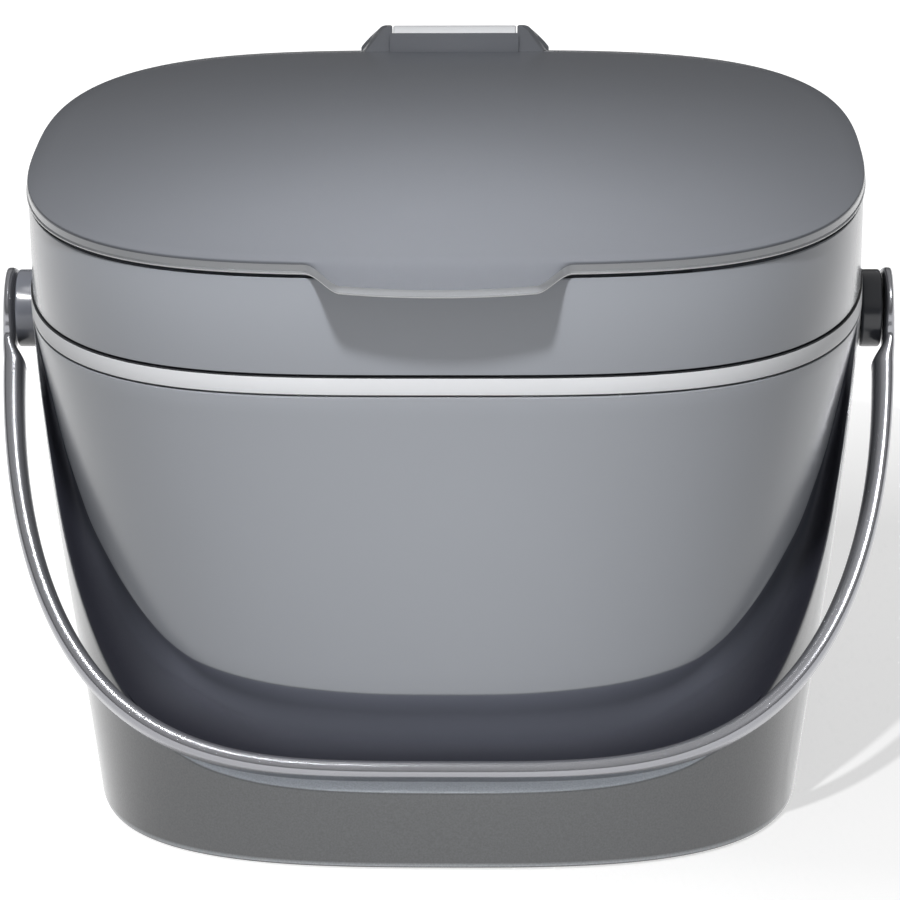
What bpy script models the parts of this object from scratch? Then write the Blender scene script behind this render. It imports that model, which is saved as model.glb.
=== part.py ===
"""Kitchen compost bin: a tapered tub with a swooping front recess, a lift-up lid and a drop-down bail.

Metres, +Z up, +Y to the back. The origin is on the floor, under the middle of the bin.
"""

import math

import bmesh
import bpy
from mathutils import Vector

# Plan of the bin at its rim, which the lid, the collar and the tub share.
RIM_HALF_WIDTH = 0.0925
RIM_HALF_DEPTH = 0.0851
RIM_POWER_ACROSS = 3.65
RIM_POWER_ALONG = 2.6

# Heights.
FOOT_PROUD = 0.0004
TUB_TOP = 0.1092
BAND_HEIGHT = 0.0040
COLLAR_HEIGHT = 0.0211
LID_GAP = 0.0007
RUN_GAP = 0.0003
MERGE_DISTANCE = 0.000003

# Tub: the outer wall, which is also the skirt below the recess.
SIDE_DRAFT = 0.0131
SIDE_BULGE = 0.0013
FRONT_DRAFT = 0.0014
REAR_DRAFT = 0.0130
BASE_POWER_ACROSS = 3.02
BASE_POWER_ALONG = 4.0
WAIST_SOFTENING_ACROSS = 0.22
WAIST_SOFTENING_ALONG = 0.42
WAIST_SCALE = 256 / 27
TUB_WALL = 0.0022
BASE_EDGE = 0.0006

# Tub: the front face above the recess.
FACE_SIDE_DRAFT = 0.0200
FACE_FRONT_DRAFT = 0.0115
FACE_POWER_ALONG = 3.0

# Recess: angles in degrees from the middle of the front, heights as shares of the tub's top.
RECESS_END_ANGLE = 71.4
RECESS_INNER_SPREAD = 2.0
RECESS_DEPTH = 0.0085
RECESS_FADE_SHARE = 0.333
LEDGE_ROUND = 0.0008
LEDGE_ROUND_MIDDLE = 0.25
COVE_LOW_PULL = 0.08
COVE_HIGH_PULL = 0.70
LEDGE_SHARES = (
    (0.0, 0.172), (10.0, 0.174), (18.0, 0.179), (24.0, 0.187), (30.0, 0.199), (36.0, 0.219),
    (40.0, 0.234), (43.0, 0.246), (45.0, 0.262), (46.5, 0.285), (48.3, 0.302), (52.6, 0.346),
    (56.6, 0.397), (59.9, 0.449), (62.8, 0.501), (65.2, 0.555), (67.0, 0.612), (68.3, 0.668),
    (69.4, 0.726), (70.2, 0.787), (70.8, 0.850), (71.2, 0.920), (71.4, 1.0),
)
BROW_SHARES = (
    (0.0, 0.355), (13.0, 0.366), (21.0, 0.377), (31.0, 0.398), (38.0, 0.432), (44.0, 0.479),
    (49.0, 0.526), (54.0, 0.577), (59.0, 0.627), (62.0, 0.677), (65.6, 0.730), (67.8, 0.775),
    (68.9, 0.840), (69.6, 0.920), (70.2, 1.0), (71.4, 1.0),
)
SETBACK = 0.0062
SETBACK_SHARES = (
    (0.0, 1.0), (9.0, 0.93), (15.0, 0.83), (21.0, 0.72), (27.0, 0.56), (33.0, 0.40), (36.0, 0.31),
    (39.0, 0.22), (42.0, 0.12), (45.0, 0.04), (46.5, 0.0), (71.4, 0.0),
)
COVE_FOOT_SHARES = (
    (0.0, 0.190), (15.0, 0.197), (24.0, 0.214), (30.0, 0.231), (36.0, 0.251), (40.0, 0.266),
    (43.0, 0.278), (46.5, 0.292), (48.3, 0.302), (71.4, 0.302),
)
COVE_DEPTH_SHARES = (
    (0.0, 1.0), (20.0, 0.96), (35.0, 0.82), (45.0, 0.62), (54.0, 0.38), (62.0, 0.18), (70.0, 0.06),
)
FRONT_ANGLES = (
    0.0, 1.0, 3.0, 6.0, 10.0, 15.0, 21.0, 27.0, 33.0, 38.0, 42.0, 45.0, 49.0, 54.0, 58.5, 62.0,
    65.0, 67.0, 68.6, 69.8, 70.8, 71.4, 75.0, 79.0, 83.0, 87.0,
)
REAR_ANGLES = (90.0, 86.0, 80.0, 72.0, 62.0, 52.0, 42.0, 31.0, 20.0, 11.0, 4.0, 1.0, 0.0)
SKIRT_ROW_SHARES = (0.3, 0.65, 1.0)
COVE_ROW_SHARES = (0.12, 0.28, 0.46, 0.64, 0.82, 1.0)
FACE_ROW_SHARES = (0.35, 0.7, 1.0)

# Inner bucket.
BUCKET_WALL = 0.0018
BUCKET_RIM_INSET = 0.0031
BUCKET_SIDE_DRAFT = 0.0190
BUCKET_FRONT_DRAFT = 0.0215
BUCKET_REAR_DRAFT = 0.0150
BUCKET_BOTTOM_RADIUS = 0.0090
BUCKET_BOTTOM_ANGLES = (0.0, 30.0, 60.0, 90.0)
BUCKET_POWER_ALONG = 2.7

# Collar and the pale ring under it.
COLLAR_INSET = 0.0004
COLLAR_WALL = 0.0025
COLLAR_EDGE = 0.0005
RING_WALL = 0.0027

# Lid.
LID_RIM_HEIGHT = 0.0027
LID_EDGE = 0.0006
LID_DOME = 0.0032
LID_PLATE = 0.0020
LID_LAND = 0.0050
LID_FIRST_STEP = 0.0003
DOME_SHARES = (0.3, 0.6, 0.85, 1.0)
UNDER_DOME_SHARES = (0.6, 0.3)
TAB_REACH = 0.0086
TAB_ROOT_HALF_WIDTH = 0.0274
TAB_TIP_HALF_WIDTH = 0.0196
TAB_BOW_SHARE = 0.16
TAB_TOP_DROP = 0.0026
TAB_BOTTOM_DROP = 0.0022
TAB_STEPS = 26
TAB_STEP_POWER = 0.7
TAB_SPARE_TURN = math.radians(1.5)

# Lid liner and its seal.
LINER_INSET = 0.0056
LINER_PLATE = 0.0018
PLUG_INSET = 0.0071
PLUG_WALL = 0.0017
PLUG_DEPTH = 0.0062
PLUG_FLANGE_INSET = 0.0061
PLUG_FLANGE = 0.0014
SEAL_INSET = 0.0056
SEAL_HEIGHT = 0.0027

# Lid hinge.
HINGE_REACH = 0.0050
HINGE_HEIGHT = 0.0038
BARREL_RADIUS = 0.0035
BARREL_HALF_WIDTH = 0.0150
BARREL_ARC = (-80.0, 180.0)
BARREL_STEPS = 20
EAR_RADIUS = 0.0036
EAR_ARC = (115.0, -90.0)
EAR_STEPS = 18
EAR_WIDTH = 0.0026
HUMP_FLARE = 0.0054
HUMP_FRONT = 0.0035
WEB_DROP = 0.0006
HUMP_SINK = 0.0012
HUMP_TOP_SINK = 0.0006
EAR_ROUND = 0.0009
ARM_THICKNESS = 0.0030
HINGE_PIN_RADIUS = 0.0015
HINGE_PIN_REACH = 0.0016
HINGE_BORE_RADIUS = 0.0016

# Handle and its pivots.
BAR_SETBACK = 0.00225
BAR_LIFT = 0.00244
HANDLE_INSET = 0.0001
HANDLE_POWER_ACROSS = 3.75
HANDLE_POWER_ALONG = 2.30
HANDLE_ARM_WIDTH = 0.0051
HANDLE_MIDDLE_WIDTH = 0.0046
HANDLE_CORNER_WIDTH = 0.0043
CORNER_SHARE = 0.72
HANDLE_BAR_WIDTH = 0.0038
HANDLE_ARM_DEPTH = 0.0078
HANDLE_BAR_DEPTH = 0.0056
HANDLE_STEPS = 22
HANDLE_STEP_POWER = 1.25
ARM_STEPS = 11
TANGENT_TURN = 0.001
SECTION_POINTS = 12
SECTION_POWER = 0.7
PADDLE_RADIUS = 0.0092
PADDLE_THICKNESS = 0.0028
PADDLE_BLEND = 0.0062
PADDLE_ROW_SHARES = (-0.985, -0.8, -0.45, 0.0, 0.45, 0.75)
DRUM_RADIUS = 0.0088
DRUM_LENGTH = 0.0046
DRUM_EDGE = 0.0006
DRUM_GAP = 0.0003
PIVOT_PAD_PROUD = 0.0002
PIVOT_PAD_ROOT = 0.0019
PIN_RADIUS = 0.0030
PIN_BORE_RADIUS = 0.0031
PIN_END_PROUD = 0.0008
RETAINER_RADIUS = 0.0052
RETAINER_THICKNESS = 0.0010
RETAINER_GAP = 0.0007
PIN_TIP_COVER = 0.0009

# Base plate and feet.
BASE_PLATE = 0.0026
FOOT_RADIUS = 0.0065
FOOT_SOCKET = 0.0010
FOOT_SIDE_INSET = 0.0294
FOOT_FRONT_INSET = 0.0287
FOOT_REAR_INSET = 0.0241

# Steps of round and turned shapes; a round body starts half a step on, clear of the walls' own corners.
CUT_OVERRUN = 0.0020
ROUND_STEPS = 28
PIN_STEPS = 14
HALF_STEP = 0.5
PLAIN_QUARTER_STEPS = 16
PLAIN_STEP_POWER = 1.61
SMOOTH_ANGLE = math.radians(32)

# Heights and places that follow from the sizes above.
BAND_BOTTOM = TUB_TOP + RUN_GAP
BAND_TOP = BAND_BOTTOM + BAND_HEIGHT
COLLAR_BOTTOM = BAND_TOP + RUN_GAP
COLLAR_TOP = COLLAR_BOTTOM + COLLAR_HEIGHT
LID_BOTTOM = COLLAR_TOP + LID_GAP
LID_RIM_TOP = LID_BOTTOM + LID_RIM_HEIGHT
BUCKET_BOTTOM = FOOT_PROUD + BASE_PLATE + RUN_GAP
HINGE_Y = RIM_HALF_DEPTH + HINGE_REACH
HINGE_Z = LID_BOTTOM + HINGE_HEIGHT
HUMP_TOP_HALF_WIDTH = BARREL_HALF_WIDTH + EAR_WIDTH
HINGE_PIN_HALF_LENGTH = BARREL_HALF_WIDTH + HINGE_PIN_REACH
PIVOT_HEIGHT = TUB_TOP - DRUM_RADIUS
DRUM_INNER = RIM_HALF_WIDTH + PIVOT_PAD_PROUD + RUN_GAP
DRUM_OUTER = DRUM_INNER + DRUM_LENGTH
PADDLE_INNER = DRUM_OUTER + DRUM_GAP
PADDLE_OUTER = PADDLE_INNER + PADDLE_THICKNESS
HANDLE_HALF_WIDTH = PADDLE_OUTER - HANDLE_INSET
BAR_REACH = RIM_HALF_DEPTH - BAR_SETBACK
BAR_DROP = PIVOT_HEIGHT - BAR_LIFT - LEDGE_SHARES[0][1] * TUB_TOP
HANDLE_LENGTH = math.hypot(BAR_REACH, BAR_DROP)
FOOT_ACROSS = RIM_HALF_WIDTH - SIDE_DRAFT - FOOT_SIDE_INSET
FOOT_FRONT = FRONT_DRAFT + FOOT_FRONT_INSET - RIM_HALF_DEPTH
FOOT_REAR = RIM_HALF_DEPTH - REAR_DRAFT - FOOT_REAR_INSET

# Colours as linear red, green and blue, with roughness and metallic.
CHARCOAL = ((0.150, 0.158, 0.178, 1.0), 0.32, 0.0)
DRUM_CHARCOAL = ((0.060, 0.063, 0.072, 1.0), 0.30, 0.0)
PALE_GREY = ((0.640, 0.650, 0.670, 1.0), 0.38, 0.0)
BUCKET_GREY = ((0.420, 0.430, 0.450, 1.0), 0.40, 0.0)
HANDLE_GREY = ((0.250, 0.255, 0.285, 1.0), 0.28, 0.35)
STEEL = ((0.560, 0.560, 0.570, 1.0), 0.30, 1.0)
SILICONE = ((0.520, 0.530, 0.545, 1.0), 0.60, 0.0)
RUBBER = ((0.050, 0.050, 0.055, 1.0), 0.75, 0.0)
LINER_CHARCOAL = ((0.120, 0.126, 0.142, 1.0), 0.42, 0.0)


def clear_scene():
    for old in list(bpy.data.objects):
        bpy.data.objects.remove(old, do_unlink=True)


def paint(part, name, finish):
    colour, roughness, metallic = finish
    material = bpy.data.materials.new(name)
    material.use_nodes = True
    shader = material.node_tree.nodes["Principled BSDF"]
    shader.inputs["Base Color"].default_value = colour
    shader.inputs["Roughness"].default_value = roughness
    shader.inputs["Metallic"].default_value = metallic
    part.data.materials.append(material)


def add_part(name, shape, finish, origin=(0.0, 0.0, 0.0)):
    """Makes an object of a bmesh drawn in world places, with its origin where the part turns or stands."""
    bmesh.ops.remove_doubles(shape, verts=shape.verts, dist=MERGE_DISTANCE)
    bmesh.ops.recalc_face_normals(shape, faces=shape.faces)
    mesh = bpy.data.meshes.new(name)
    for vertex in shape.verts:
        vertex.co -= Vector(origin)
    shape.to_mesh(mesh)
    shape.free()
    part = bpy.data.objects.new(name, mesh)
    part.location = origin
    bpy.context.scene.collection.objects.link(part)
    mesh.shade_smooth()
    mesh.set_sharp_from_angle(angle=SMOOTH_ANGLE)
    if finish:
        paint(part, name, finish)
    return part


def combine(part, other, operation):
    """Boolean of a part with a helper, which is left out of the render."""
    other.hide_render = True
    other.display_type = "WIRE"
    modifier = part.modifiers.new(f"{operation.lower()} {other.name}", "BOOLEAN")
    modifier.operation = operation
    modifier.solver = "EXACT"
    modifier.object = other


def mirrored_turns(front_angles, rear_angles):
    """Turn angles round the whole plan, from the front middle by the right side and the rear."""
    right = [math.radians(angle - 90.0) for angle in front_angles]
    right += [math.radians(90.0 - angle) for angle in rear_angles]
    left = [math.pi - turn for turn in reversed(right[1:-1])]
    return right + left


def from_front(turn):
    """Angle in degrees between a turn and the middle of the front, 180 at the rear."""
    return math.degrees(math.acos(max(-1.0, min(1.0, -math.sin(turn)))))


def smooth_share(points, x):
    """Monotone smooth curve through hand-placed (x, share) points."""
    if x >= points[-1][0]:
        return points[-1][1]
    slopes = [(b[1] - a[1]) / (b[0] - a[0]) for a, b in zip(points, points[1:])]
    for i, ((x0, y0), (x1, y1)) in enumerate(zip(points, points[1:])):
        if x <= x1:
            here = slopes[i]
            before = slopes[i - 1] if i else 0.0
            after = slopes[i + 1] if i + 1 < len(slopes) else here
            start = 2 * before * here / (before + here) if i and before * here > 0 else 0.0
            end = 2 * after * here / (after + here) if after * here > 0 else 0.0
            t = (x - x0) / (x1 - x0)
            rise = (x1 - x0) * (start * t * (1 - t) ** 2 - end * t * t * (1 - t))
            return y0 + (y1 - y0) * t * t * (3 - 2 * t) + rise
    return points[-1][1]


def plan_point(half_width, front, rear, across, along, turn):
    """Point of a rounded rectangle whose edges are curves of the given powers."""
    cosine = math.cos(turn)
    sine = math.sin(turn)
    x = half_width * math.copysign(abs(cosine) ** (2 / across), cosine)
    y = (rear - front) / 2 * math.copysign(abs(sine) ** (2 / along), sine)
    return x, y + (front + rear) / 2


def rim_point(inset, turn):
    return plan_point(
        RIM_HALF_WIDTH - inset,
        inset - RIM_HALF_DEPTH,
        RIM_HALF_DEPTH - inset,
        RIM_POWER_ACROSS,
        RIM_POWER_ALONG,
        turn,
    )


def ring(inset, height, turns):
    return [Vector((*rim_point(inset, turn), height)) for turn in turns]


def wall_point(height, inset, turn):
    """Outer wall of the tub, and of the skirt below the recess; its waist is a little softer in plan."""
    down = 1 - height / TUB_TOP
    half_width = RIM_HALF_WIDTH - SIDE_DRAFT * down + 4 * SIDE_BULGE * down * (1 - down)
    soft = WAIST_SCALE * down**3 * (1 - down)
    across = RIM_POWER_ACROSS + (BASE_POWER_ACROSS - RIM_POWER_ACROSS) * down
    across -= WAIST_SOFTENING_ACROSS * soft
    along = RIM_POWER_ALONG + (BASE_POWER_ALONG - RIM_POWER_ALONG) * down
    along -= WAIST_SOFTENING_ALONG * soft
    front = FRONT_DRAFT * down - RIM_HALF_DEPTH
    rear = RIM_HALF_DEPTH - REAR_DRAFT * down
    x, y = plan_point(half_width - inset, front + inset, rear - inset, across, along, turn)
    return Vector((x, y, height))


def face_point(height, inset, turn):
    """Front face of the tub above the recess, which leans in more than the skirt."""
    down = 1 - height / TUB_TOP
    half_width = RIM_HALF_WIDTH - FACE_SIDE_DRAFT * down
    across = RIM_POWER_ACROSS + (BASE_POWER_ACROSS - RIM_POWER_ACROSS) * down
    along = RIM_POWER_ALONG + (FACE_POWER_ALONG - RIM_POWER_ALONG) * down
    front = FACE_FRONT_DRAFT * down - RIM_HALF_DEPTH
    rear = RIM_HALF_DEPTH - REAR_DRAFT * down
    x, y = plan_point(half_width - inset, front + inset, rear - inset, across, along, turn)
    return Vector((x, y, height))


def bezier(a, b, c, d, t):
    return (1 - t) ** 3 * a + 3 * t * (1 - t) ** 2 * b + 3 * t * t * (1 - t) * c + t**3 * d


def tub_column(turn, inset, bottom):
    """Points up one skin of the tub wall at one turn; the inner skin's recess reaches further round."""
    spread = RECESS_INNER_SPREAD if inset else 0.0
    angle = max(0.0, min(from_front(turn) - spread, RECESS_END_ANGLE))
    ledge = smooth_share(LEDGE_SHARES, angle) * TUB_TOP
    brow = smooth_share(BROW_SHARES, angle) * TUB_TOP
    fade = min(1.0, (1 - brow / TUB_TOP) / RECESS_FADE_SHARE)
    ledge -= inset * min(1.0, (TUB_TOP - ledge) / TUB_WALL)
    rounding = min(LEDGE_ROUND, (TUB_TOP - ledge) / 2)
    low = bottom + BASE_EDGE
    high = ledge - rounding
    points = [
        wall_point(bottom, inset + (BASE_EDGE if inset == 0 else 0.0), turn),
        wall_point(low, inset, turn),
    ]
    points += [wall_point(low + (high - low) * share, inset, turn) for share in SKIRT_ROW_SHARES]
    if angle >= RECESS_END_ANGLE:
        return points
    foot = max(smooth_share(COVE_FOOT_SHARES, angle) * TUB_TOP, ledge)
    setback = max(rounding, SETBACK * smooth_share(SETBACK_SHARES, angle))
    shelf = ledge + min(LEDGE_ROUND, (foot - ledge) / 2)
    corner = rounding * LEDGE_ROUND_MIDDLE
    points += [
        wall_point(ledge - corner, inset + corner, turn),
        wall_point(ledge, inset + rounding, turn),
        wall_point(shelf, inset + setback, turn),
        wall_point(foot, inset + setback, turn),
    ]
    depth = inset + RECESS_DEPTH * smooth_share(COVE_DEPTH_SHARES, angle) * fade
    rise = brow - foot
    controls = (
        points[-1],
        face_point(foot + rise * COVE_LOW_PULL, depth, turn),
        face_point(foot + rise * COVE_HIGH_PULL, depth, turn),
        face_point(brow, inset, turn),
    )
    points += [bezier(*controls, share) for share in COVE_ROW_SHARES]
    points += [
        face_point(brow + (TUB_TOP - brow) * share, inset, turn) for share in FACE_ROW_SHARES
    ]
    return points


def skin_columns(shape, columns):
    """Makes the vertices of a skin; a column with fewer points repeats its top one."""
    most = max(len(column) for column in columns)
    made = []
    for column in columns:
        verts = [shape.verts.new(point) for point in column]
        made.append(verts + [verts[-1]] * (most - len(verts)))
    return made


def face_of(shape, corners):
    """A face of the corners that differ, if there are three or more."""
    kept = []
    for corner in corners:
        if corner not in kept:
            kept.append(corner)
    if len(kept) > 2:
        shape.faces.new(kept)


def skin_faces(shape, columns, flip):
    for i, column in enumerate(columns):
        following = columns[(i + 1) % len(columns)]
        for j in range(len(column) - 1):
            corners = [column[j], following[j], following[j + 1], column[j + 1]]
            face_of(shape, corners[::-1] if flip else corners)


def turned_shell(outer, inner):
    """Closed wall between two skins, each a list of columns, open at both ends."""
    shape = bmesh.new()
    outside = skin_columns(shape, outer)
    inside = skin_columns(shape, inner)
    skin_faces(shape, outside, flip=False)
    skin_faces(shape, inside, flip=True)
    for end in (0, -1):
        for i in range(len(outside)):
            j = (i + 1) % len(outside)
            face_of(shape, [outside[i][end], outside[j][end], inside[j][end], inside[i][end]])
    return shape


def ring_loft(rings, closed):
    """Body through rings of equal count; closed joins the last to the first, else each end is capped."""
    shape = bmesh.new()
    made = [[shape.verts.new(point) for point in points] for points in rings]
    count = len(rings[0])
    pairs = list(zip(made, made[1:]))
    if closed:
        pairs.append((made[-1], made[0]))
    for lower, upper in pairs:
        for i in range(count):
            j = (i + 1) % count
            shape.faces.new([lower[i], lower[j], upper[j], upper[i]])
    if not closed:
        for end in (made[0], made[-1]):
            middle = sum((vertex.co for vertex in end), Vector()) / count
            centre = shape.verts.new(middle)
            for i in range(count):
                shape.faces.new([end[i], end[(i + 1) % count], centre])
    return shape


def round_body(profile, axis_point, along_x, steps=ROUND_STEPS):
    """Solid turned about a line along X or Z, from (place along the line, radius) pairs."""
    rings = []
    for place, radius in profile:
        points = []
        for i in range(steps):
            angle = 2 * math.pi * (i + HALF_STEP) / steps
            u = radius * math.cos(angle)
            v = radius * math.sin(angle)
            if along_x:
                points.append(Vector((place, axis_point[1] + u, axis_point[2] + v)))
            else:
                points.append(Vector((axis_point[0] + u, axis_point[1] + v, place)))
        rings.append(points)
    return ring_loft(rings, closed=False)


def side_profile_body(profile, half_width_at):
    """Solid of a side outline (y, z), as wide as half_width_at gives for each height."""
    shape = bmesh.new()
    left = [shape.verts.new((-half_width_at(z), y, z)) for y, z in profile]
    right = [shape.verts.new((half_width_at(z), y, z)) for y, z in profile]
    shape.faces.new(left)
    shape.faces.new(right[::-1])
    for i in range(len(profile)):
        j = (i + 1) % len(profile)
        shape.faces.new([left[i], right[i], right[j], left[j]])
    return shape


def arc_points(centre, radius, start, end, steps):
    """Points (y, z) of an arc, angles in degrees from +Y towards +Z."""
    points = []
    for i in range(steps + 1):
        angle = math.radians(start + (end - start) * i / steps)
        points.append((centre[0] + radius * math.cos(angle), centre[1] + radius * math.sin(angle)))
    return points


def plain_turns():
    """Turns for plain rings, closer together by the middle of each side, where one step reaches further."""
    turns = []
    for side in range(4):
        for i in range(PLAIN_QUARTER_STEPS):
            t = 2 * i / PLAIN_QUARTER_STEPS
            share = t**PLAIN_STEP_POWER / 2 if t < 1 else 1 - (2 - t) ** PLAIN_STEP_POWER / 2
            turns.append(math.pi / 2 * (side + share))
    return turns


def make_tub():
    turns = mirrored_turns(FRONT_ANGLES, REAR_ANGLES)
    outer = [tub_column(turn, 0.0, FOOT_PROUD) for turn in turns]
    inner = [tub_column(turn, TUB_WALL, FOOT_PROUD) for turn in turns]
    tub = add_part("outer_body", turned_shell(outer, inner), CHARCOAL)
    pad_start = RIM_HALF_WIDTH - PIVOT_PAD_ROOT
    for name, side in (("left", -1), ("right", 1)):
        pad = round_body(
            [
                (side * pad_start, DRUM_RADIUS - DRUM_EDGE),
                (side * (DRUM_INNER - RUN_GAP), DRUM_RADIUS - DRUM_EDGE),
            ],
            (0.0, 0.0, PIVOT_HEIGHT),
            along_x=True,
        )
        combine(tub, add_part(f"pad_{name}", pad, None), "UNION")
        bore = round_body(
            [
                (side * (pad_start - TUB_WALL - CUT_OVERRUN), PIN_BORE_RADIUS),
                (side * (DRUM_INNER + CUT_OVERRUN), PIN_BORE_RADIUS),
            ],
            (0.0, 0.0, PIVOT_HEIGHT),
            along_x=True,
        )
        combine(tub, add_part(f"pin_bore_{name}", bore, None), "DIFFERENCE")
    return tub


def bucket_ring(height, inset, turns):
    down = 1 - height / COLLAR_TOP
    front = BUCKET_RIM_INSET + BUCKET_FRONT_DRAFT * down - RIM_HALF_DEPTH + inset
    rear = RIM_HALF_DEPTH - BUCKET_RIM_INSET - BUCKET_REAR_DRAFT * down - inset
    half_width = RIM_HALF_WIDTH - BUCKET_RIM_INSET - BUCKET_SIDE_DRAFT * down - inset
    along = RIM_POWER_ALONG + (BUCKET_POWER_ALONG - RIM_POWER_ALONG) * down
    across = RIM_POWER_ACROSS + (BASE_POWER_ACROSS - RIM_POWER_ACROSS) * down
    return [
        Vector((*plan_point(half_width, front, rear, across, along, turn), height)) for turn in turns
    ]


def rounded_bottom(turns, skin):
    """Rings from the bottom of the bucket up its rounded corner, for the outer or the inner skin."""
    radius = BUCKET_BOTTOM_RADIUS - skin
    floor = BUCKET_BOTTOM + skin
    rings = []
    for degrees in BUCKET_BOTTOM_ANGLES:
        angle = math.radians(degrees)
        height = floor + radius * (1 - math.cos(angle))
        rings.append(bucket_ring(height, skin + radius * (1 - math.sin(angle)), turns))
    return rings


def make_bucket(turns):
    middle = (BUCKET_BOTTOM + COLLAR_TOP) / 2
    rings = rounded_bottom(turns, 0.0)
    rings += [bucket_ring(middle, 0.0, turns), bucket_ring(COLLAR_TOP, 0.0, turns)]
    rings += [bucket_ring(COLLAR_TOP, BUCKET_WALL, turns), bucket_ring(middle, BUCKET_WALL, turns)]
    rings += rounded_bottom(turns, BUCKET_WALL)[::-1]
    return add_part("inner_bucket", ring_loft(rings, closed=False), BUCKET_GREY)


def make_collar(turns):
    outer = COLLAR_INSET
    inner = COLLAR_INSET + COLLAR_WALL
    rings = [
        ring(outer, COLLAR_BOTTOM, turns),
        ring(outer, COLLAR_TOP - COLLAR_EDGE, turns),
        ring(outer + COLLAR_EDGE, COLLAR_TOP, turns),
        ring(inner - COLLAR_EDGE, COLLAR_TOP, turns),
        ring(inner, COLLAR_TOP - COLLAR_EDGE, turns),
        ring(inner, COLLAR_BOTTOM, turns),
    ]
    return add_part("collar", ring_loft(rings, closed=True), CHARCOAL)


def make_rim_ring(turns):
    """Pale ring that shows as the band, with the hinge arm and barrel that rise from its rear."""
    rings = [
        ring(0.0, BAND_BOTTOM, turns),
        ring(0.0, BAND_TOP, turns),
        ring(RING_WALL, BAND_TOP, turns),
        ring(RING_WALL, BAND_BOTTOM, turns),
    ]
    rim_ring = add_part("rim_ring", ring_loft(rings, closed=True), PALE_GREY)
    arm_front = RIM_HALF_DEPTH + RUN_GAP
    arm_rear = arm_front + ARM_THICKNESS
    arm_root = RIM_HALF_DEPTH - RING_WALL / 2
    profile = [
        (arm_root, BAND_BOTTOM + RUN_GAP),
        (arm_front, BAND_BOTTOM + RUN_GAP),
        (arm_rear, BAND_BOTTOM + ARM_THICKNESS),
    ]
    profile += arc_points((HINGE_Y, HINGE_Z), BARREL_RADIUS, *BARREL_ARC, BARREL_STEPS)
    profile += [
        (arm_front, HINGE_Z - BARREL_RADIUS),
        (arm_front, BAND_TOP - RUN_GAP),
        (arm_root, BAND_TOP - RUN_GAP),
    ]
    arm = add_part("hinge_arm", side_profile_body(profile, lambda z: BARREL_HALF_WIDTH), None)
    combine(rim_ring, arm, "UNION")
    bore = round_body(
        [
            (-BARREL_HALF_WIDTH - CUT_OVERRUN, HINGE_BORE_RADIUS),
            (BARREL_HALF_WIDTH + CUT_OVERRUN, HINGE_BORE_RADIUS),
        ],
        (0.0, HINGE_Y, HINGE_Z),
        along_x=True,
        steps=PIN_STEPS,
    )
    combine(rim_ring, add_part("hinge_bore", bore, None), "DIFFERENCE")
    return rim_ring


def tab_share(x):
    """How far out the thumb tab reaches at a place across the front, from 0 to 1."""
    span = (TAB_ROOT_HALF_WIDTH - abs(x)) / (TAB_ROOT_HALF_WIDTH - TAB_TIP_HALF_WIDTH)
    t = max(0.0, min(1.0, span))
    bow = TAB_BOW_SHARE * min(1.0, abs(x) / TAB_TIP_HALF_WIDTH) ** 2
    return t * t * (3 - 2 * t) * (1 - bow)


def front_turn(x):
    """Turn, from 0 to a full one, of the point of the rim's front that is at x."""
    cosine = (abs(x) / RIM_HALF_WIDTH) ** (RIM_POWER_ACROSS / 2)
    return math.atan2(-math.sqrt(1 - cosine * cosine), math.copysign(cosine, x)) % (2 * math.pi)


def lid_turns(turns):
    """Ring turns with extra ones across the thumb tab."""
    across = []
    for i in range(TAB_STEPS + 1):
        share = 2 * i / TAB_STEPS - 1
        x = math.copysign(TAB_ROOT_HALF_WIDTH * abs(share) ** TAB_STEP_POWER, share)
        across.append(front_turn(x))
    low = across[0] - TAB_SPARE_TURN
    high = across[-1] + TAB_SPARE_TURN
    kept = [turn for turn in turns if not low < turn < high]
    return sorted(kept + across)


def lid_ring(inset, height, turns, drop=0.0, reach=0.0):
    """Ring of the lid; where the tab is, its points go out by reach and down by drop."""
    points = []
    for turn in turns:
        x, y = rim_point(inset, turn)
        share = tab_share(x) if y < 0 else 0.0
        points.append(Vector((x, y - reach * share, height - drop * share)))
    return points


def dome_ring(share, height, rise, turns):
    """Ring of a dome, at a share of the rim's plan."""
    points = []
    for turn in turns:
        x, y = rim_point(LID_EDGE, turn)
        points.append(Vector((x * share, y * share, height + rise * (1 - share * share))))
    return points


def hump_half_width(z):
    """Half width of the hinge hump, which narrows upwards and has rounded shoulders."""
    top = HINGE_Z + EAR_RADIUS
    low = LID_BOTTOM + HUMP_SINK
    t = max(0.0, min(1.0, (z - low) / (top - low)))
    shoulder = EAR_ROUND * max(0.0, 1 - (top - z) / EAR_ROUND) ** 2
    return HUMP_TOP_HALF_WIDTH + HUMP_FLARE * (1 - t) - shoulder


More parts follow.
